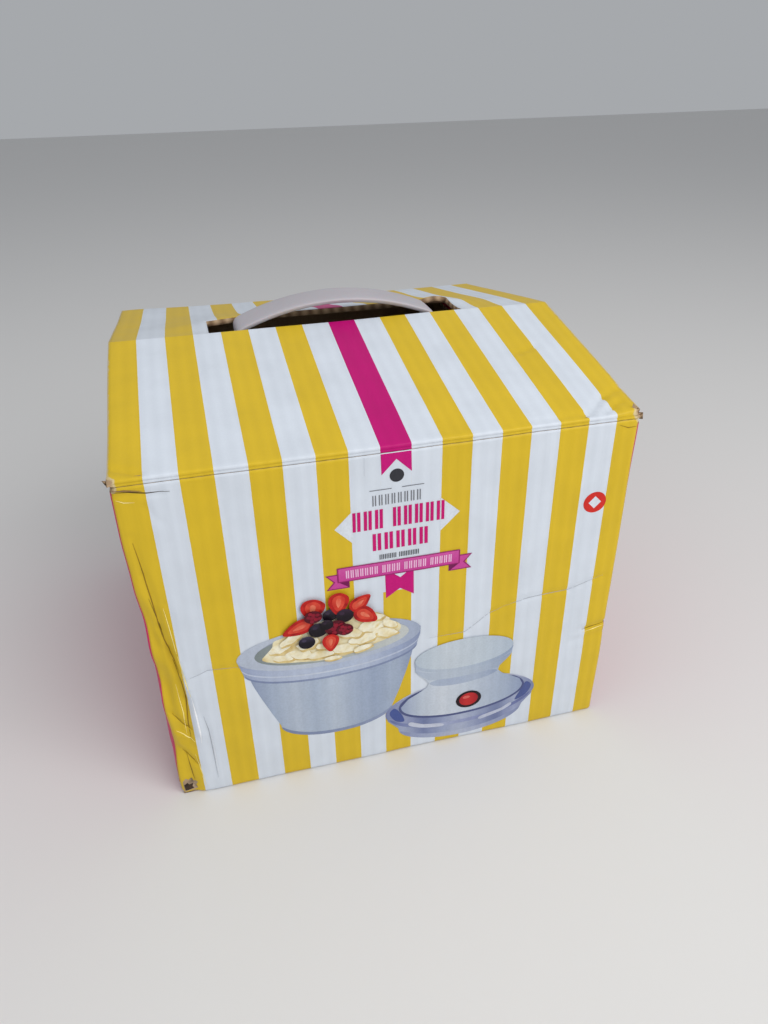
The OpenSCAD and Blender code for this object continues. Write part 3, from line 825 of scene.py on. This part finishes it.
def ellipse(cx, cy, a, b, start=0, end=360, count=40, turn=0):
    whole = end - start >= 360
    steps = count if whole else count - 1
    t = math.radians(turn)
    points = []
    for i in range(count):
        angle = math.radians(start + (end - start) * i / steps)
        x, y = a * math.cos(angle), b * math.sin(angle)
        points.append((cx + x * math.cos(t) - y * math.sin(t),
                       cy + x * math.sin(t) + y * math.cos(t)))
    return points


# A crescent between two arcs with the same ends
def band(cx, cy, a, b, thick, start, end, count=30):
    outer = ellipse(cx, cy, a, b, start, end, count)
    inner = []
    for i, (x, y) in enumerate(outer):
        taper = math.sin(math.pi * i / (count - 1)) ** 0.5
        inner.append((x - (x - cx) / a * thick * taper, y - thick * taper))
    return outer + inner[1:-1][::-1]


def smoothLoop(points, parts=5):
    full = []
    count = len(points)
    for i in range(count):
        a, b, c, d = (Vector(points[(i + k) % count]) for k in (-1, 0, 1, 2))
        for j in range(parts):
            t = j / parts
            full.append(tuple(0.5 * ((2 * b) + (c - a) * t + (2 * a - 5 * b + 4 * c - d) * t * t
                                     + (3 * b - a - 3 * c + d) * t ** 3)))
    return full


def box(x1, y1, x2, y2):
    return [(x1, y1), (x2, y1), (x2, y2), (x1, y2)]


# A colour is a triple of 0 to 255, or a rule that gives one for each place
def addPrint(bm, outline, colour, layer):
    fold = wallSetup["fold"] / mm
    wide = 2 * (halfSide - fold) / wallSetup["columns"]
    tall = (wallTop / mm - fold) / wallSetup["rows"]
    verts = [bm.verts.new((x - halfSide, layer, wallTall - y)) for x, y in outline]
    geom = [bm.faces.new(verts)]
    geom += list(geom[0].edges) + verts
    for axis, start, gap in ((0, fold - halfSide, wide), (2, fold, tall)):
        low, high = min(v.co[axis] for v in verts), max(v.co[axis] for v in verts)
        step = math.ceil((low - start) / gap)
        while start + step * gap < high - 0.01:
            at, normal = [0, 0, 0], [0, 0, 0]
            at[axis], normal[axis] = start + step * gap, 1
            made = bmesh.ops.bisect_plane(bm, geom=geom, dist=1e-4, plane_co=at, plane_no=normal)
            geom = list(set(made["geom"] + made["geom_cut"]))
            step += 1
    inkLayer = bm.verts.layers.float_color["ink"]
    for v in geom:
        if isinstance(v, bmesh.types.BMVert):
            place = (v.co.x + halfSide, wallTall - v.co.z)
            v[inkLayer] = (*(colour(*place) if callable(colour) else linear(colour)), 1)


# Each shape lies over the last, from layer under up, or all in one layer when level
def makePrint(name, shapes, material, under=0, level=False):
    bm = bmesh.new()
    bm.verts.layers.float_color.new("ink")
    for layer, (outline, colour) in enumerate(shapes):
        addPrint(bm, outline, colour, under if level else under + layer)
    for v in bm.verts:
        lift = (printSetup["lift"] + v.co.y * printSetup["step"]) * mm
        v.co = onFront(v.co.x * mm, v.co.z * mm) - Vector((0, lift, 0))
    bm.normal_update()
    bmesh.ops.reverse_faces(bm, faces=[f for f in bm.faces if f.normal.y > 0])
    for edge in bm.edges:
        edge.smooth = not edge.is_boundary
    piece = finishPiece(bm, name, "carton", [material])
    giveThickness(piece, printSetup["thick"], 0, 0)


def artPrint(name, low, high):
    material, tree, shader = startMaterial(name, Specular_IOR_Level=printLook["gloss"])
    place, places = objectPlace(tree)
    colour = addNode(tree, "ShaderNodeAttribute", attribute_name="ink").outputs["Color"]
    dots = toneRamp(tree, noiseNode(tree, place, 900, 2), (0.3, low), (0.65, high))
    speckled = mixColour(tree, 1.0, colour, dots, "MULTIPLY")
    return finishPrint(material, tree, shader, speckled, place, places)


titleInks = {
    "white": (216, 222, 231), "ribbon": (196, 12, 118), "magenta": (198, 10, 110),
    "grey": (118, 120, 128), "dark": (52, 52, 58), "banner": (200, 72, 152),
    "bannerEdge": (150, 34, 104), "bannerShade": (118, 22, 84), "pink": (236, 190, 220),
    "sticker": (208, 44, 36),
}
titleSetup = {
    "rules": [(112.6, 22.0, 123.4, 22.4), (128.6, 22.0, 139.4, 22.4)],
    "type": [            # left, top, foot, word lengths, pitch, bar width, gap, ink
        (113.9, 24.9, 30.6, [8], 3.15, 0.55, 1.25, "grey"),
        (104.0, 32.8, 43.6, [3, 5], 5.5, 1.6, 2.3, "magenta"),
        (113.7, 46.3, 56.0, [5], 5.9, 1.7, 2.5, "magenta"),
        (117.0, 58.7, 61.6, [5, 6], 1.75, 0.42, 0.9, "dark"),
    ],
    "bannerType": (99.8, 65.0, 69.5, [7, 4, 5, 5], 2.42, 0.6, 1.0),
    "dot": (126.0, 15.6, 3.5, 3.5), "sticker": (231.4, 47.8, 6.3, 6.1), "stickerMark": (3.5, 3.6),
}


# Blind type: pairs of bars where words stood, one list entry for each word's length
def wordBars(left, top, low, words, pitch, wide, gap):
    shapes = []
    for length in words:
        for i in range(length):
            shapes += [box(left, top, left + wide, low),
                       box(left + gap, top, left + gap + wide, low)]
            left += pitch
        left += pitch * 0.62
    return shapes


def makeTitle(material):
    p = titleInks
    s = titleSetup
    badge = [([(104.4, 31.4), (104.4, 50.2), (95.3, 40.6)], p["white"]),
             ([(147.8, 31.2), (157.8, 40.6), (147.8, 50.2)], p["white"])]
    makePrint("printedBadge", badge, material)
    makePrint("printedRibbonTop", [
        ([(118.3, 3.7), (133.0, 3.7), (133.3, 14.4), (125.8, 7.0), (118.6, 14.6)], p["ribbon"]),
        (ellipse(*s["dot"], count=28), p["dark"]),
    ], material, 1)
    flat = [(box(*rule), p["grey"]) for rule in s["rules"]]
    for *row, colour in s["type"]:
        flat += [(bar, p[colour]) for bar in wordBars(*row)]
    makePrint("printedTitle", flat, material, 2, True)
    makePrint("printedRibbonLow", [
        ([(119.7, 71.0), (134.4, 71.0), (134.6, 85.9), (127.3, 80.8), (119.9, 85.9)], p["ribbon"]),
        ([(123.6, 71.0), (131.4, 71.0), (127.5, 74.1)], p["white"]),
    ], material)
    makePrint("printedBanner", [
        ([(89.4, 66.5), (101.4, 66.5), (101.4, 75.4), (89.6, 75.4), (93.4, 71.0)], p["bannerEdge"]),
        ([(90.6, 67.1), (100.8, 67.1), (100.8, 74.8), (90.8, 74.8), (94.3, 71.0)], p["banner"]),
        ([(153.0, 66.3), (165.4, 66.3), (161.6, 70.8), (165.4, 75.3), (153.0, 75.3)],
         p["bannerEdge"]),
        ([(153.6, 66.9), (164.2, 66.9), (160.6, 70.8), (164.2, 74.7), (153.6, 74.7)], p["banner"]),
        ([(101.4, 71.2), (101.4, 75.2), (95.9, 71.2)], p["bannerShade"]),
        ([(153.4, 71.2), (158.6, 71.2), (153.4, 75.2)], p["bannerShade"]),
        (box(95.4, 62.9, 158.8, 71.5), p["bannerEdge"]),
        (box(96.1, 63.5, 158.1, 70.9), down(63.5, 70.9, (206, 84, 160), (196, 62, 146))),
    ], material, 2)
    bars = wordBars(*s["bannerType"])
    makePrint("printedBannerBars", [(bar, p["pink"]) for bar in bars], material, 11, True)
    x, y = s["sticker"][:2]
    wide, tall = s["stickerMark"]
    makePrint("printedSticker", [
        (ellipse(*s["sticker"], count=40), p["sticker"]),
        ([(x, y - tall), (x + wide, y), (x, y + tall), (x - wide, y)], p["white"]),
    ], material)


# An ellipse with an uneven edge
def blob(x, y, a, b, turn, seed):
    points = []
    for px, py in ellipse(0, 0, a, b, count=14, turn=turn):
        swell = 1 + 0.34 * noise.noise(Vector((px * 0.45, py * 0.45, seed * 3.7)))
        points.append((x + px * swell, y + py * swell))
    return smoothLoop(points, 2)


def berry(x, y, r, dark, light):
    shine = down(y - r, y + r, light, dark, dark)
    return [(ellipse(x, y, r, r * 0.92, count=20), shine),
            (ellipse(x - r * 0.3, y - r * 0.35, r * 0.28, r * 0.2, count=10), light)]


def cluster(x, y, r):
    shapes = [(ellipse(x, y, r, r * 0.85, count=20), (86, 14, 30))]
    for i in range(9):
        angle = i * 2.4
        far = r * 0.26 * math.sqrt(i)
        px, py = x + far * math.cos(angle), y + far * math.sin(angle) * 0.85
        bead = ellipse(px, py, r * 0.24, r * 0.22, count=10)
        shapes.append((bead, (128 + i * 5 % 20, 22, 44)))
    return shapes


# Half a strawberry: its cut face is pale in the middle
def strawberry(x, y, long, wide, turn):
    t = math.radians(turn)

    def put(points):
        return [(x + a * math.cos(t) - b * math.sin(t),
                 y + a * math.sin(t) + b * math.cos(t)) for a, b in points]

    rim = [(-1, -0.35), (-0.6, -1), (0.1, -0.95), (0.85, -0.35), (1, 0.2 / wide), (0.8, 0.4),
           (0, 1), (-0.7, 0.9), (-1.02, 0.3)]
    body = [(a * long, b * wide) for a, b in rim]
    heart = [(a * 0.72 - long * 0.06, b * 0.62) for a, b in body]
    core = [(a * 0.42 - long * 0.1, b * 0.24) for a, b in body]
    return [(smoothLoop(put(body), 3), mottled(2.2, (120, 12, 18), (186, 28, 26), (204, 44, 34))),
            (smoothLoop(put(heart), 3), mottled(2.0, (196, 46, 36), (222, 82, 60))),
            (smoothLoop(put(core), 3), mottled(2.0, (232, 134, 104), (214, 84, 62)))]


def makeBowlPicture(material):
    body = [(46.6, 121.5), (48.6, 129), (52.0, 139), (56.2, 150.5), (60.2, 160.5)]
    body += ellipse(91.2, 160.5, 31.2, 12.6, 172, 8, 24)
    body += [(122.4, 160.5), (126.3, 150), (130.2, 138), (133.2, 127), (134.6, 120)]
    streaks = ((146, 158, 186), (170, 183, 204), (186, 197, 214), (174, 187, 207), (190, 201, 217),
               (170, 183, 205), (160, 174, 199), (172, 185, 206), (144, 157, 187))
    collar = [(41.9, 108), (42.2, 112.5), (44.2, 119.5)]
    collar += ellipse(90.3, 119.6, 46.2, 12.2, 176, 4, 34)
    collar += [(136.4, 119), (138.2, 113), (138.4, 108)]
    shapes = [
        (body, across(47, 135, *streaks)),
        (band(91.2, 160.5, 31.2, 12.6, 2.2, 175, 5),
         across(60, 122, (128, 140, 172), (150, 162, 192))),
        (collar, across(42, 138, (152, 163, 194), (180, 191, 215), (190, 200, 222), (180, 192, 216),
                        (188, 199, 221), (166, 178, 206), (146, 158, 190))),
        (band(90.3, 120.0, 45.6, 12.2, 1.3, 178, 2),
         across(44, 136, (126, 138, 172), (146, 158, 188), (128, 140, 174))),
        (band(90.2, 115.2, 47.2, 13.0, 1.0, 176, 4),
         across(44, 136, (196, 205, 224), (206, 214, 229), (188, 198, 220))),
        (ellipse(90.0, 109.6, 48.4, 13.6, count=56),
         across(42, 138, (186, 195, 212), (198, 206, 220), (190, 199, 216), (170, 181, 204))),
        (ellipse(91.2, 109.4, 40.6, 11.0, count=50),
         across(51, 132, (134, 144, 146), (164, 172, 168), (188, 194, 192), (206, 210, 208))),
        (band(91.2, 109.4, 40.6, 11.0, 1.0, 182, 358), (150, 160, 178)),
    ]
    makePrint("pictureBowl", shapes, material)


def makeFoodPicture(material):
    mound = [(54.5, 112), (57, 108), (60, 104.5), (61, 101), (66, 99.5), (71, 96), (80, 94),
             (92, 93), (104, 92), (113, 93), (119, 96.5), (122, 100.5), (126.5, 103.5),
             (127, 107.5), (122, 111.5), (112, 114.5), (103, 117.5), (93, 119.2), (83, 119.0),
             (74, 117.6), (63, 115.8)]
    creamInks = ((206, 176, 112), (224, 204, 150), (234, 224, 188), (240, 234, 208))
    lowInks = ((190, 158, 92), (216, 190, 128), (228, 208, 152))
    lumpInks = ((226, 206, 150), (238, 228, 194), (244, 240, 220), (220, 196, 132))
    shapes = [(smoothLoop(mound, 3), mottled(5.5, *creamInks))]
    lumps = [(64, 105.8, 6.5, 3.4, -20), (73, 112.5, 8.5, 3.4, 8), (65, 113, 5.4, 2.2, 10),
             (85, 114.6, 8, 3.0, -4), (97, 113.6, 8, 3.2, 5), (113, 101, 9, 4.6, -15),
             (118.6, 107.4, 7.2, 3.2, 12), (107, 109, 8, 3.4, -8), (100, 104, 7, 3.6, 20),
             (121, 101.8, 4.6, 2.6, 30), (78, 106, 6, 3.6, -15), (90, 118.2, 4.6, 1.4, 0),
             (69, 101.6, 6, 2.8, -25), (112, 95.4, 6.4, 2.4, 12), (106, 115, 5.5, 1.8, -14),
             (86, 109.2, 5, 2.2, 12)]
    for i, (x, y, a, b, turn) in enumerate(lumps):
        shapes.append((blob(x + 0.5, y + 0.7, a, b, turn, i), mottled(2.4, *lowInks)))
        lump = blob(x, y - 0.2, a * 0.94, b * 0.88, turn, i)
        shapes.append((lump, mottled(2.6, *lumpInks)))
    shapes += strawberry(73.5, 94.6, 8.2, 4.4, 160) + strawberry(81.5, 84.6, 6.2, 6.0, 100)
    shapes += berry(90.2, 89.5, 4.0, (24, 16, 26), (60, 48, 66))
    shapes += strawberry(94.8, 83.4, 6.6, 5.2, 95) + strawberry(106.2, 84.4, 6.4, 4.0, -38)
    shapes += strawberry(108.8, 93.2, 6.8, 4.8, 38)
    shapes += berry(97.6, 91.0, 4.6, (24, 14, 24), (58, 40, 60))
    shapes += berry(83.6, 97.4, 4.9, (22, 14, 24), (52, 42, 62))
    shapes += cluster(92.6, 97.8, 5.6) + berry(77.4, 103.8, 4.3, (22, 16, 28), (66, 58, 82))
    shapes += cluster(97.2, 99.6, 4.4)
    shapes += strawberry(89.4, 106.6, 5.4, 4.2, 92)
    shapes += cluster(81.4, 88.0, 4.6) + berry(88.0, 94.0, 3.4, (20, 12, 20), (48, 34, 50))
    makePrint("pictureFood", shapes, material, 9)


def makeMachinePicture(material):
    skirt = [(118.2, 168.5), (119.5, 174), (125.5, 181)]
    skirt += ellipse(163.3, 181.5, 37.8, 14.6, 170, 10, 28)
    skirt += [(201.5, 181), (207.0, 174.5), (208.4, 168.5)]
    dome = [(127.2, 164.6), (131.5, 159.4), (137.5, 156.2), (142.2, 153.2), (143.4, 150.4),
            (141.8, 147.6), (138.2, 143.6), (135.6, 140.2), (135.4, 132.5), (192.8, 132.5),
            (192.6, 139.2), (189.0, 143.6), (185.6, 147.2), (184.8, 150.2), (187.4, 153.2),
            (193.5, 156.8), (198.6, 160.2), (200.6, 164.6)]
    dome += ellipse(163.9, 164.8, 36.7, 13.2, 6, 174, 28)
    glass = ((130, 140, 178), (168, 177, 204), (122, 133, 172), (158, 168, 198), (180, 188, 210),
             (152, 162, 195), (116, 127, 168), (160, 168, 200), (124, 133, 172))
    shapes = [
        (skirt, across(118, 208, *glass)),
        (band(163.3, 181.5, 37.8, 14.6, 3.4, 170, 10),
         across(125, 202, (140, 150, 186), (186, 193, 214), (134, 144, 182))),
        (ellipse(163.3, 169.0, 45.2, 16.6, count=56), across(118, 208, *glass[::-1])),
        (band(163.3, 169.0, 45.2, 16.6, 1.4, 200, 345), (196, 202, 222)),
        (band(163.3, 170.5, 43.4, 16.4, 2.6, 172, 8),
         across(120, 206, (100, 112, 166), (176, 184, 212), (138, 147, 190), (104, 114, 164))),
        (smoothLoop([(120.5, 168), (123.5, 164.5), (127.5, 170), (129, 176), (124, 174.5)]),
         (76, 92, 154)),
        (smoothLoop([(206.5, 167.5), (203, 164), (200, 170), (197, 177), (203.5, 174)]),
         (82, 96, 152)),
        (smoothLoop([(133, 178.2), (141, 182), (152, 184.4), (152, 186.6), (140, 184.6),
                     (132, 180.6)]),
         (204, 209, 226)),
        (smoothLoop([(176, 184.6), (188, 181.6), (194, 178.4), (194.6, 180.6), (188, 184),
                     (176, 187)]),
         (196, 202, 222)),
        (ellipse(163.9, 165.4, 38.0, 14.2, count=50), (84, 92, 136)),
        (dome, across(127, 201, (158, 171, 200), (196, 206, 220), (212, 219, 229), (202, 211, 223),
                      (188, 199, 216), (174, 187, 208), (150, 164, 194))),
        (smoothLoop([(143.8, 150.6), (150, 148.8), (164, 148.2), (178, 148.8), (184.4, 150.4),
                     (178, 153.6), (164, 155.2), (150, 154.0)]),
         across(143, 185, (178, 190, 210), (172, 184, 207), (178, 190, 210), (152, 166, 194))),
        (smoothLoop([(136, 139.8), (146, 143.2), (164, 145.0), (182, 143.0), (192.2, 139.4),
                     (186, 146.6), (182, 148.6), (164, 149.8), (147, 148.8), (142, 146.6)]),
         across(136, 192, (180, 192, 210), (192, 202, 216), (182, 194, 211), (154, 168, 194))),
        (ellipse(164.1, 134.4, 28.9, 10.8, count=46),
         across(135, 193, (176, 189, 208), (190, 201, 215), (178, 191, 209), (150, 165, 192))),
        (ellipse(164.1, 132.6, 28.8, 10.2, count=46),
         across(135, 193, (190, 203, 216), (206, 215, 224), (198, 209, 220), (184, 197, 213))),
        (ellipse(167.9, 168.8, 7.7, 6.4, count=34), down(162, 175, (24, 14, 20), (44, 20, 28))),
        (ellipse(167.9, 168.7, 5.7, 4.8, count=30),
         across(162, 174, (176, 30, 40), (206, 48, 48), (160, 22, 36))),
        (ellipse(166.4, 166.9, 2.2, 1.1, count=14), (226, 104, 96)),
    ]
    makePrint("pictureMachine", shapes, material)


# Thin marks along creases: points, width in mm and colour. Most are painted crease shade and
# painted highlights, a few are torn kraft.
def sliver(points, wide):
    outer, inner = [], []
    for i, (x, y) in enumerate(points):
        a, b = points[max(0, i - 1)], points[min(len(points) - 1, i + 1)]
        along = Vector((b[0] - a[0], b[1] - a[1])).normalized()
        half = wide / 2 * (0.25 if i in (0, len(points) - 1) else 1.0)
        outer.append((x - along.y * half, y + along.x * half))
        inner.append((x + along.y * half, y - along.x * half))
    return outer + inner[::-1]


def makeMarks(material):
    # Painted light on the creases: the dark yellow and the grey are painted shade in their valleys,
    # the pale yellow and the near white are painted highlights on their ridges
    shade, paintedHighlight, line, paleScuffAndHighlight = (150, 116, 30), (250, 232, 150), (168, 172, 180), (242, 244, 248)
    # The kraft is torn print; the dark brown is painted shade in the deepest creases and the tear,
    # and the darkest kraft of the torn patch
    kraft, deep = (150, 116, 82), (66, 48, 36)
    marks = [
        ([(5.2, 32), (6.4, 48), (7.0, 64), (7.4, 82), (10.0, 100), (12.4, 112)], 0.5, shade),
        ([(6.0, 64), (7.4, 78), (8.6, 88)], 0.3, deep),
        ([(11.4, 70), (12.6, 86), (13.2, 98)], 0.55, paintedHighlight),
        ([(13.4, 100), (14.9, 116), (16.0, 128)], 0.6, paintedHighlight),
        ([(10.2, 104), (12.4, 118), (12.9, 130), (11.8, 148), (11.4, 160)], 0.6, shade),
        ([(16.2, 128), (17.0, 140), (17.4, 154), (17.0, 162)], 0.8, paleScuffAndHighlight),
        ([(4.0, 140), (9.0, 148), (13.2, 153)], 0.5, shade),
        ([(4.4, 152), (10, 158), (14.0, 161)], 0.5, paintedHighlight),
        ([(5.2, 167), (9.6, 173), (12.8, 178)], 0.5, shade),
        ([(7.2, 170), (8.6, 182), (9.2, 190)], 0.6, shade),
        ([(12.2, 170), (14.0, 182), (15.4, 194)], 0.45, paintedHighlight),
        ([(8.8, 120), (10.4, 140), (9.4, 156)], 0.45, paintedHighlight),
        ([(20.6, 143), (21.9, 154), (22.2, 170), (22.5, 190)], 0.35, line),
        ([(16.8, 116), (27, 112.2), (40, 113.4)], 0.3, line),
        ([(40, 113.4), (52, 117.4), (58, 119.0)], 0.28, line),
        ([(22.8, 156), (23.0, 172), (23.3, 188)], 0.3, paleScuffAndHighlight),
        ([(143, 118), (164, 118.2), (176, 109), (186, 105)], 0.28, line),
        ([(186, 105), (200, 102.6), (224, 102), (243, 96)], 0.3, line),
        ([(235.4, 133.4), (242, 132.2), (249, 130.8)], 0.5, shade),
        ([(236, 135), (243, 133.6), (249, 132.4)], 0.45, paintedHighlight),
        ([(1.4, 5.9), (8, 6.6), (15, 8.0), (24.5, 8.4)], 0.5, deep),
        ([(0.8, 5.0), (6, 5.4), (13, 6.8)], 0.9, kraft),
        ([(2.0, 9.4), (5.0, 11.0), (9.4, 11.6)], 0.5, paintedHighlight),
        ([(239, 5.4), (244, 7.4), (249, 7.2)], 0.4, shade),
        ([(110.6, 4.4), (110.4, 14)], 0.22, line),
    ]
    marks = [(sliver(points, wide), colour) for points, wide, colour in marks]
    torn = [(2.6, 189.6), (4.2, 187.8), (5.6, 189.2), (7.4, 188.2), (8.2, 190.8), (10.8, 191.6),
            (9.4, 193.8), (10.2, 196.0), (7.8, 197.4), (2.6, 197.4)]
    marks.append((torn, mottled(1.6, kraft, (186, 162, 136), deep)))
    # The crease marks are painted shade and painted highlights, laid with the torn kraft patch
    makePrint("creaseShadeHighlightsAndTear", marks, material, 2, True)
    # The hole is a dark patch: painted shade inside the torn corner
    paintedHoleShade = [(3.0, 192.4), (4.8, 191.2), (5.6, 192.8), (7.8, 192.6), (7.0, 194.8), (7.8, 196.4),
            (3.0, 197.0)]
    makePrint("tornHoleShade", [(paintedHoleShade, mottled(1.2, (30, 22, 18), (74, 54, 40)))], material, 4)


# Finishes of the machine inside

# Tone picks between two colours, and grain makes the roughness and the bump uneven
def unevenFinish(parts, dark, light, tone, grain, rough, spread, depth, strength):
    material, tree, shader = parts
    feed(tree, shader, Base_Color=mixColour(tree, tone, dark, light),
         Roughness=plus(tree, times(tree, grain, spread), rough - spread / 2),
         Normal=bumpNode(tree, grain, depth * mm, strength))
    return material


def moulded(name, light, dark, rough, grain, scale, sockets):
    parts = startMaterial(name, **sockets)
    place = objectPlace(parts[1])[0]
    return unevenFinish(parts, dark, light, noiseNode(parts[1], place, 38, 3),
                        noiseNode(parts[1], place, scale, 3), rough, 0.14, grain, 0.5)


def brushedMetal(name, light, dark, rough, lines):
    parts = startMaterial(name, Metallic=1.0)
    drawn = noiseNode(parts[1], objectPlace(parts[1])[0], 1.0, 4, lines)
    return unevenFinish(parts, dark, light, drawn, drawn, rough, 0.2, 0.04, 0.4)


def clearPlastic():
    parts = startMaterial("clearPlastic", Transmission_Weight=0.9, IOR=1.49)
    place = objectPlace(parts[1])[0]
    scratches = noiseNode(parts[1], place, 160, 4, (1, 6, 1), 0.7)
    clouds = noiseNode(parts[1], place, 30, 2)
    return unevenFinish(parts, (0.76, 0.78, 0.93), (0.86, 0.88, 0.97), clouds, scratches, 0.07,
                        0.1, 0.015, 0.3)


# By slot: name, light and dark colour, roughness, depth of grain in mm, its scale, other sockets
mouldings = {
    "handle_plastic": ("handlePlastic", (0.49, 0.46, 0.495), (0.42, 0.395, 0.425), 0.42, 0.04, 420,
                       {"Subsurface_Weight": 0.08, "Subsurface_Scale": 0.004}),
    "white_plastic": ("whitePlastic", (0.78, 0.80, 0.82), (0.73, 0.755, 0.785), 0.27, 0.006, 700,
                      {"Coat_Weight": 0.25, "Coat_Roughness": 0.12}),
    "gel": ("freezingGel", (0.45, 0.66, 0.86), (0.36, 0.58, 0.82), 0.2, 0.03, 700,
            {"Subsurface_Weight": 0.3, "Subsurface_Scale": 0.01}),
    "rubber": ("rubber", (0.16, 0.17, 0.18), (0.11, 0.12, 0.13), 0.62, 0.05, 900, {}),
    "gear_plastic": ("gearPlastic", (0.74, 0.72, 0.64), (0.68, 0.66, 0.58), 0.45, 0.03, 700, {}),
    "paddle_plastic": ("paddlePlastic", (0.79, 0.81, 0.84), (0.74, 0.76, 0.80), 0.34, 0.03, 700,
                       {}),
    "black_plastic": ("blackPlastic", (0.035, 0.035, 0.04), (0.022, 0.022, 0.026), 0.36, 0.04, 700,
                      {}),
    "red_plastic": ("redPlastic", (0.62, 0.025, 0.022), (0.52, 0.015, 0.016), 0.24, 0.02, 700,
                    {"Coat_Weight": 0.5, "Coat_Roughness": 0.08}),
}
# By slot: name, light and dark colour, roughness, scale of the drawn lines
metals = {
    "bowl_aluminium": ("bowlAluminium", (0.83, 0.84, 0.86), (0.72, 0.73, 0.75), 0.34,
                       (60, 60, 2600)),
    "steel": ("steel", (0.68, 0.69, 0.71), (0.55, 0.56, 0.58), 0.3, (900, 900, 40)),
    "brass": ("brass", (0.78, 0.58, 0.27), (0.66, 0.47, 0.20), 0.3, (900, 900, 40)),
}


def makeFinishes(paints):
    bySlot = {slot: moulded(*finish) for slot, finish in mouldings.items()}
    bySlot |= {slot: brushedMetal(*finish) for slot, finish in metals.items()}
    bySlot |= {"clear_plastic": clearPlastic(), "kraft_board": paints["kraft"],
               "front_print": paints["stripes"], "side_print": paints["side"]}
    return bySlot


def paintMachine(bySlot):
    for row in frame["record"]["subparts"]:
        mesh = frame["nodes"][row["node"]].data
        if not mesh.materials:
            mesh.materials.append(None)
        for index in range(len(mesh.materials)):
            mesh.materials[index] = bySlot[row["material_slot"]]
    print("machine painted")


springSetup = {"radius": 4.2 * mm, "wire": 0.25 * mm, "turns": 3, "turnSteps": 24, "rise": 2 * mm,
               "keep": 0.4}


# The button's return spring, wound again here so that it can be pressed flat
def makeSpring(steel):
    s = springSetup
    joints = frame["record"]["behaviour"]["joints"]
    press = next(row for row in joints if row["name"] == "button_press")
    outward = -Vector(press["axis"])
    side = Vector((1, 0, 0))
    low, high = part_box("button_spring")
    foot = (Vector(low) + Vector(high)) / 2 - outward * s["rise"] / 2
    turned = Matrix((side, outward, side.cross(outward))).transposed().to_4x4()
    bm = bmesh.new()
    start = Matrix.Translation(foot + side * s["radius"]) @ turned
    ring = bmesh.ops.create_circle(bm, segments=8, radius=s["wire"], matrix=start)["verts"]
    steps = s["turns"] * s["turnSteps"]
    bmesh.ops.spin(bm, geom=ring + list(bm.edges), cent=foot, axis=outward,
                   dvec=outward * s["rise"] / steps,
                   angle=2 * math.pi * s["turns"], steps=steps, use_merge=False)
    bmesh.ops.holes_fill(bm, edges=[edge for edge in bm.edges if edge.is_boundary], sides=0)
    bmesh.ops.recalc_face_normals(bm, faces=bm.faces)
    spring = finishPiece(bm, "buttonSpring", "motor_unit", [steel])
    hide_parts("button_spring")
    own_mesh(spring)
    print("spring made")


makeCamera()
makeStage()
paints = {
    "stripes": stripedPrint("stripedPrint", False), "ribboned": stripedPrint("ribbonedPrint", True),
    "side": sidePrint(), "kraft": kraftBoard(), "cut": cutEdge(),
    "art": artPrint("printedInk", 0.93, 1.02), "picture": artPrint("pictureInk", 0.84, 0.92),
}
finishes = makeFinishes(paints)
makeWalls(paints)
makeLid(paints)
makeDustFlaps(paints)
makeTuckFlap(paints)
makeBottomFlaps(paints)
print("flaps made")
makeHandle(finishes["handle_plastic"])
makeMarks(paints["art"])
makeTitle(paints["art"])
makeBowlPicture(paints["picture"])
makeFoodPicture(paints["art"])
makeMachinePicture(paints["picture"])
print("front printed")
paintMachine(finishes)
makeSpring(finishes["steel"])
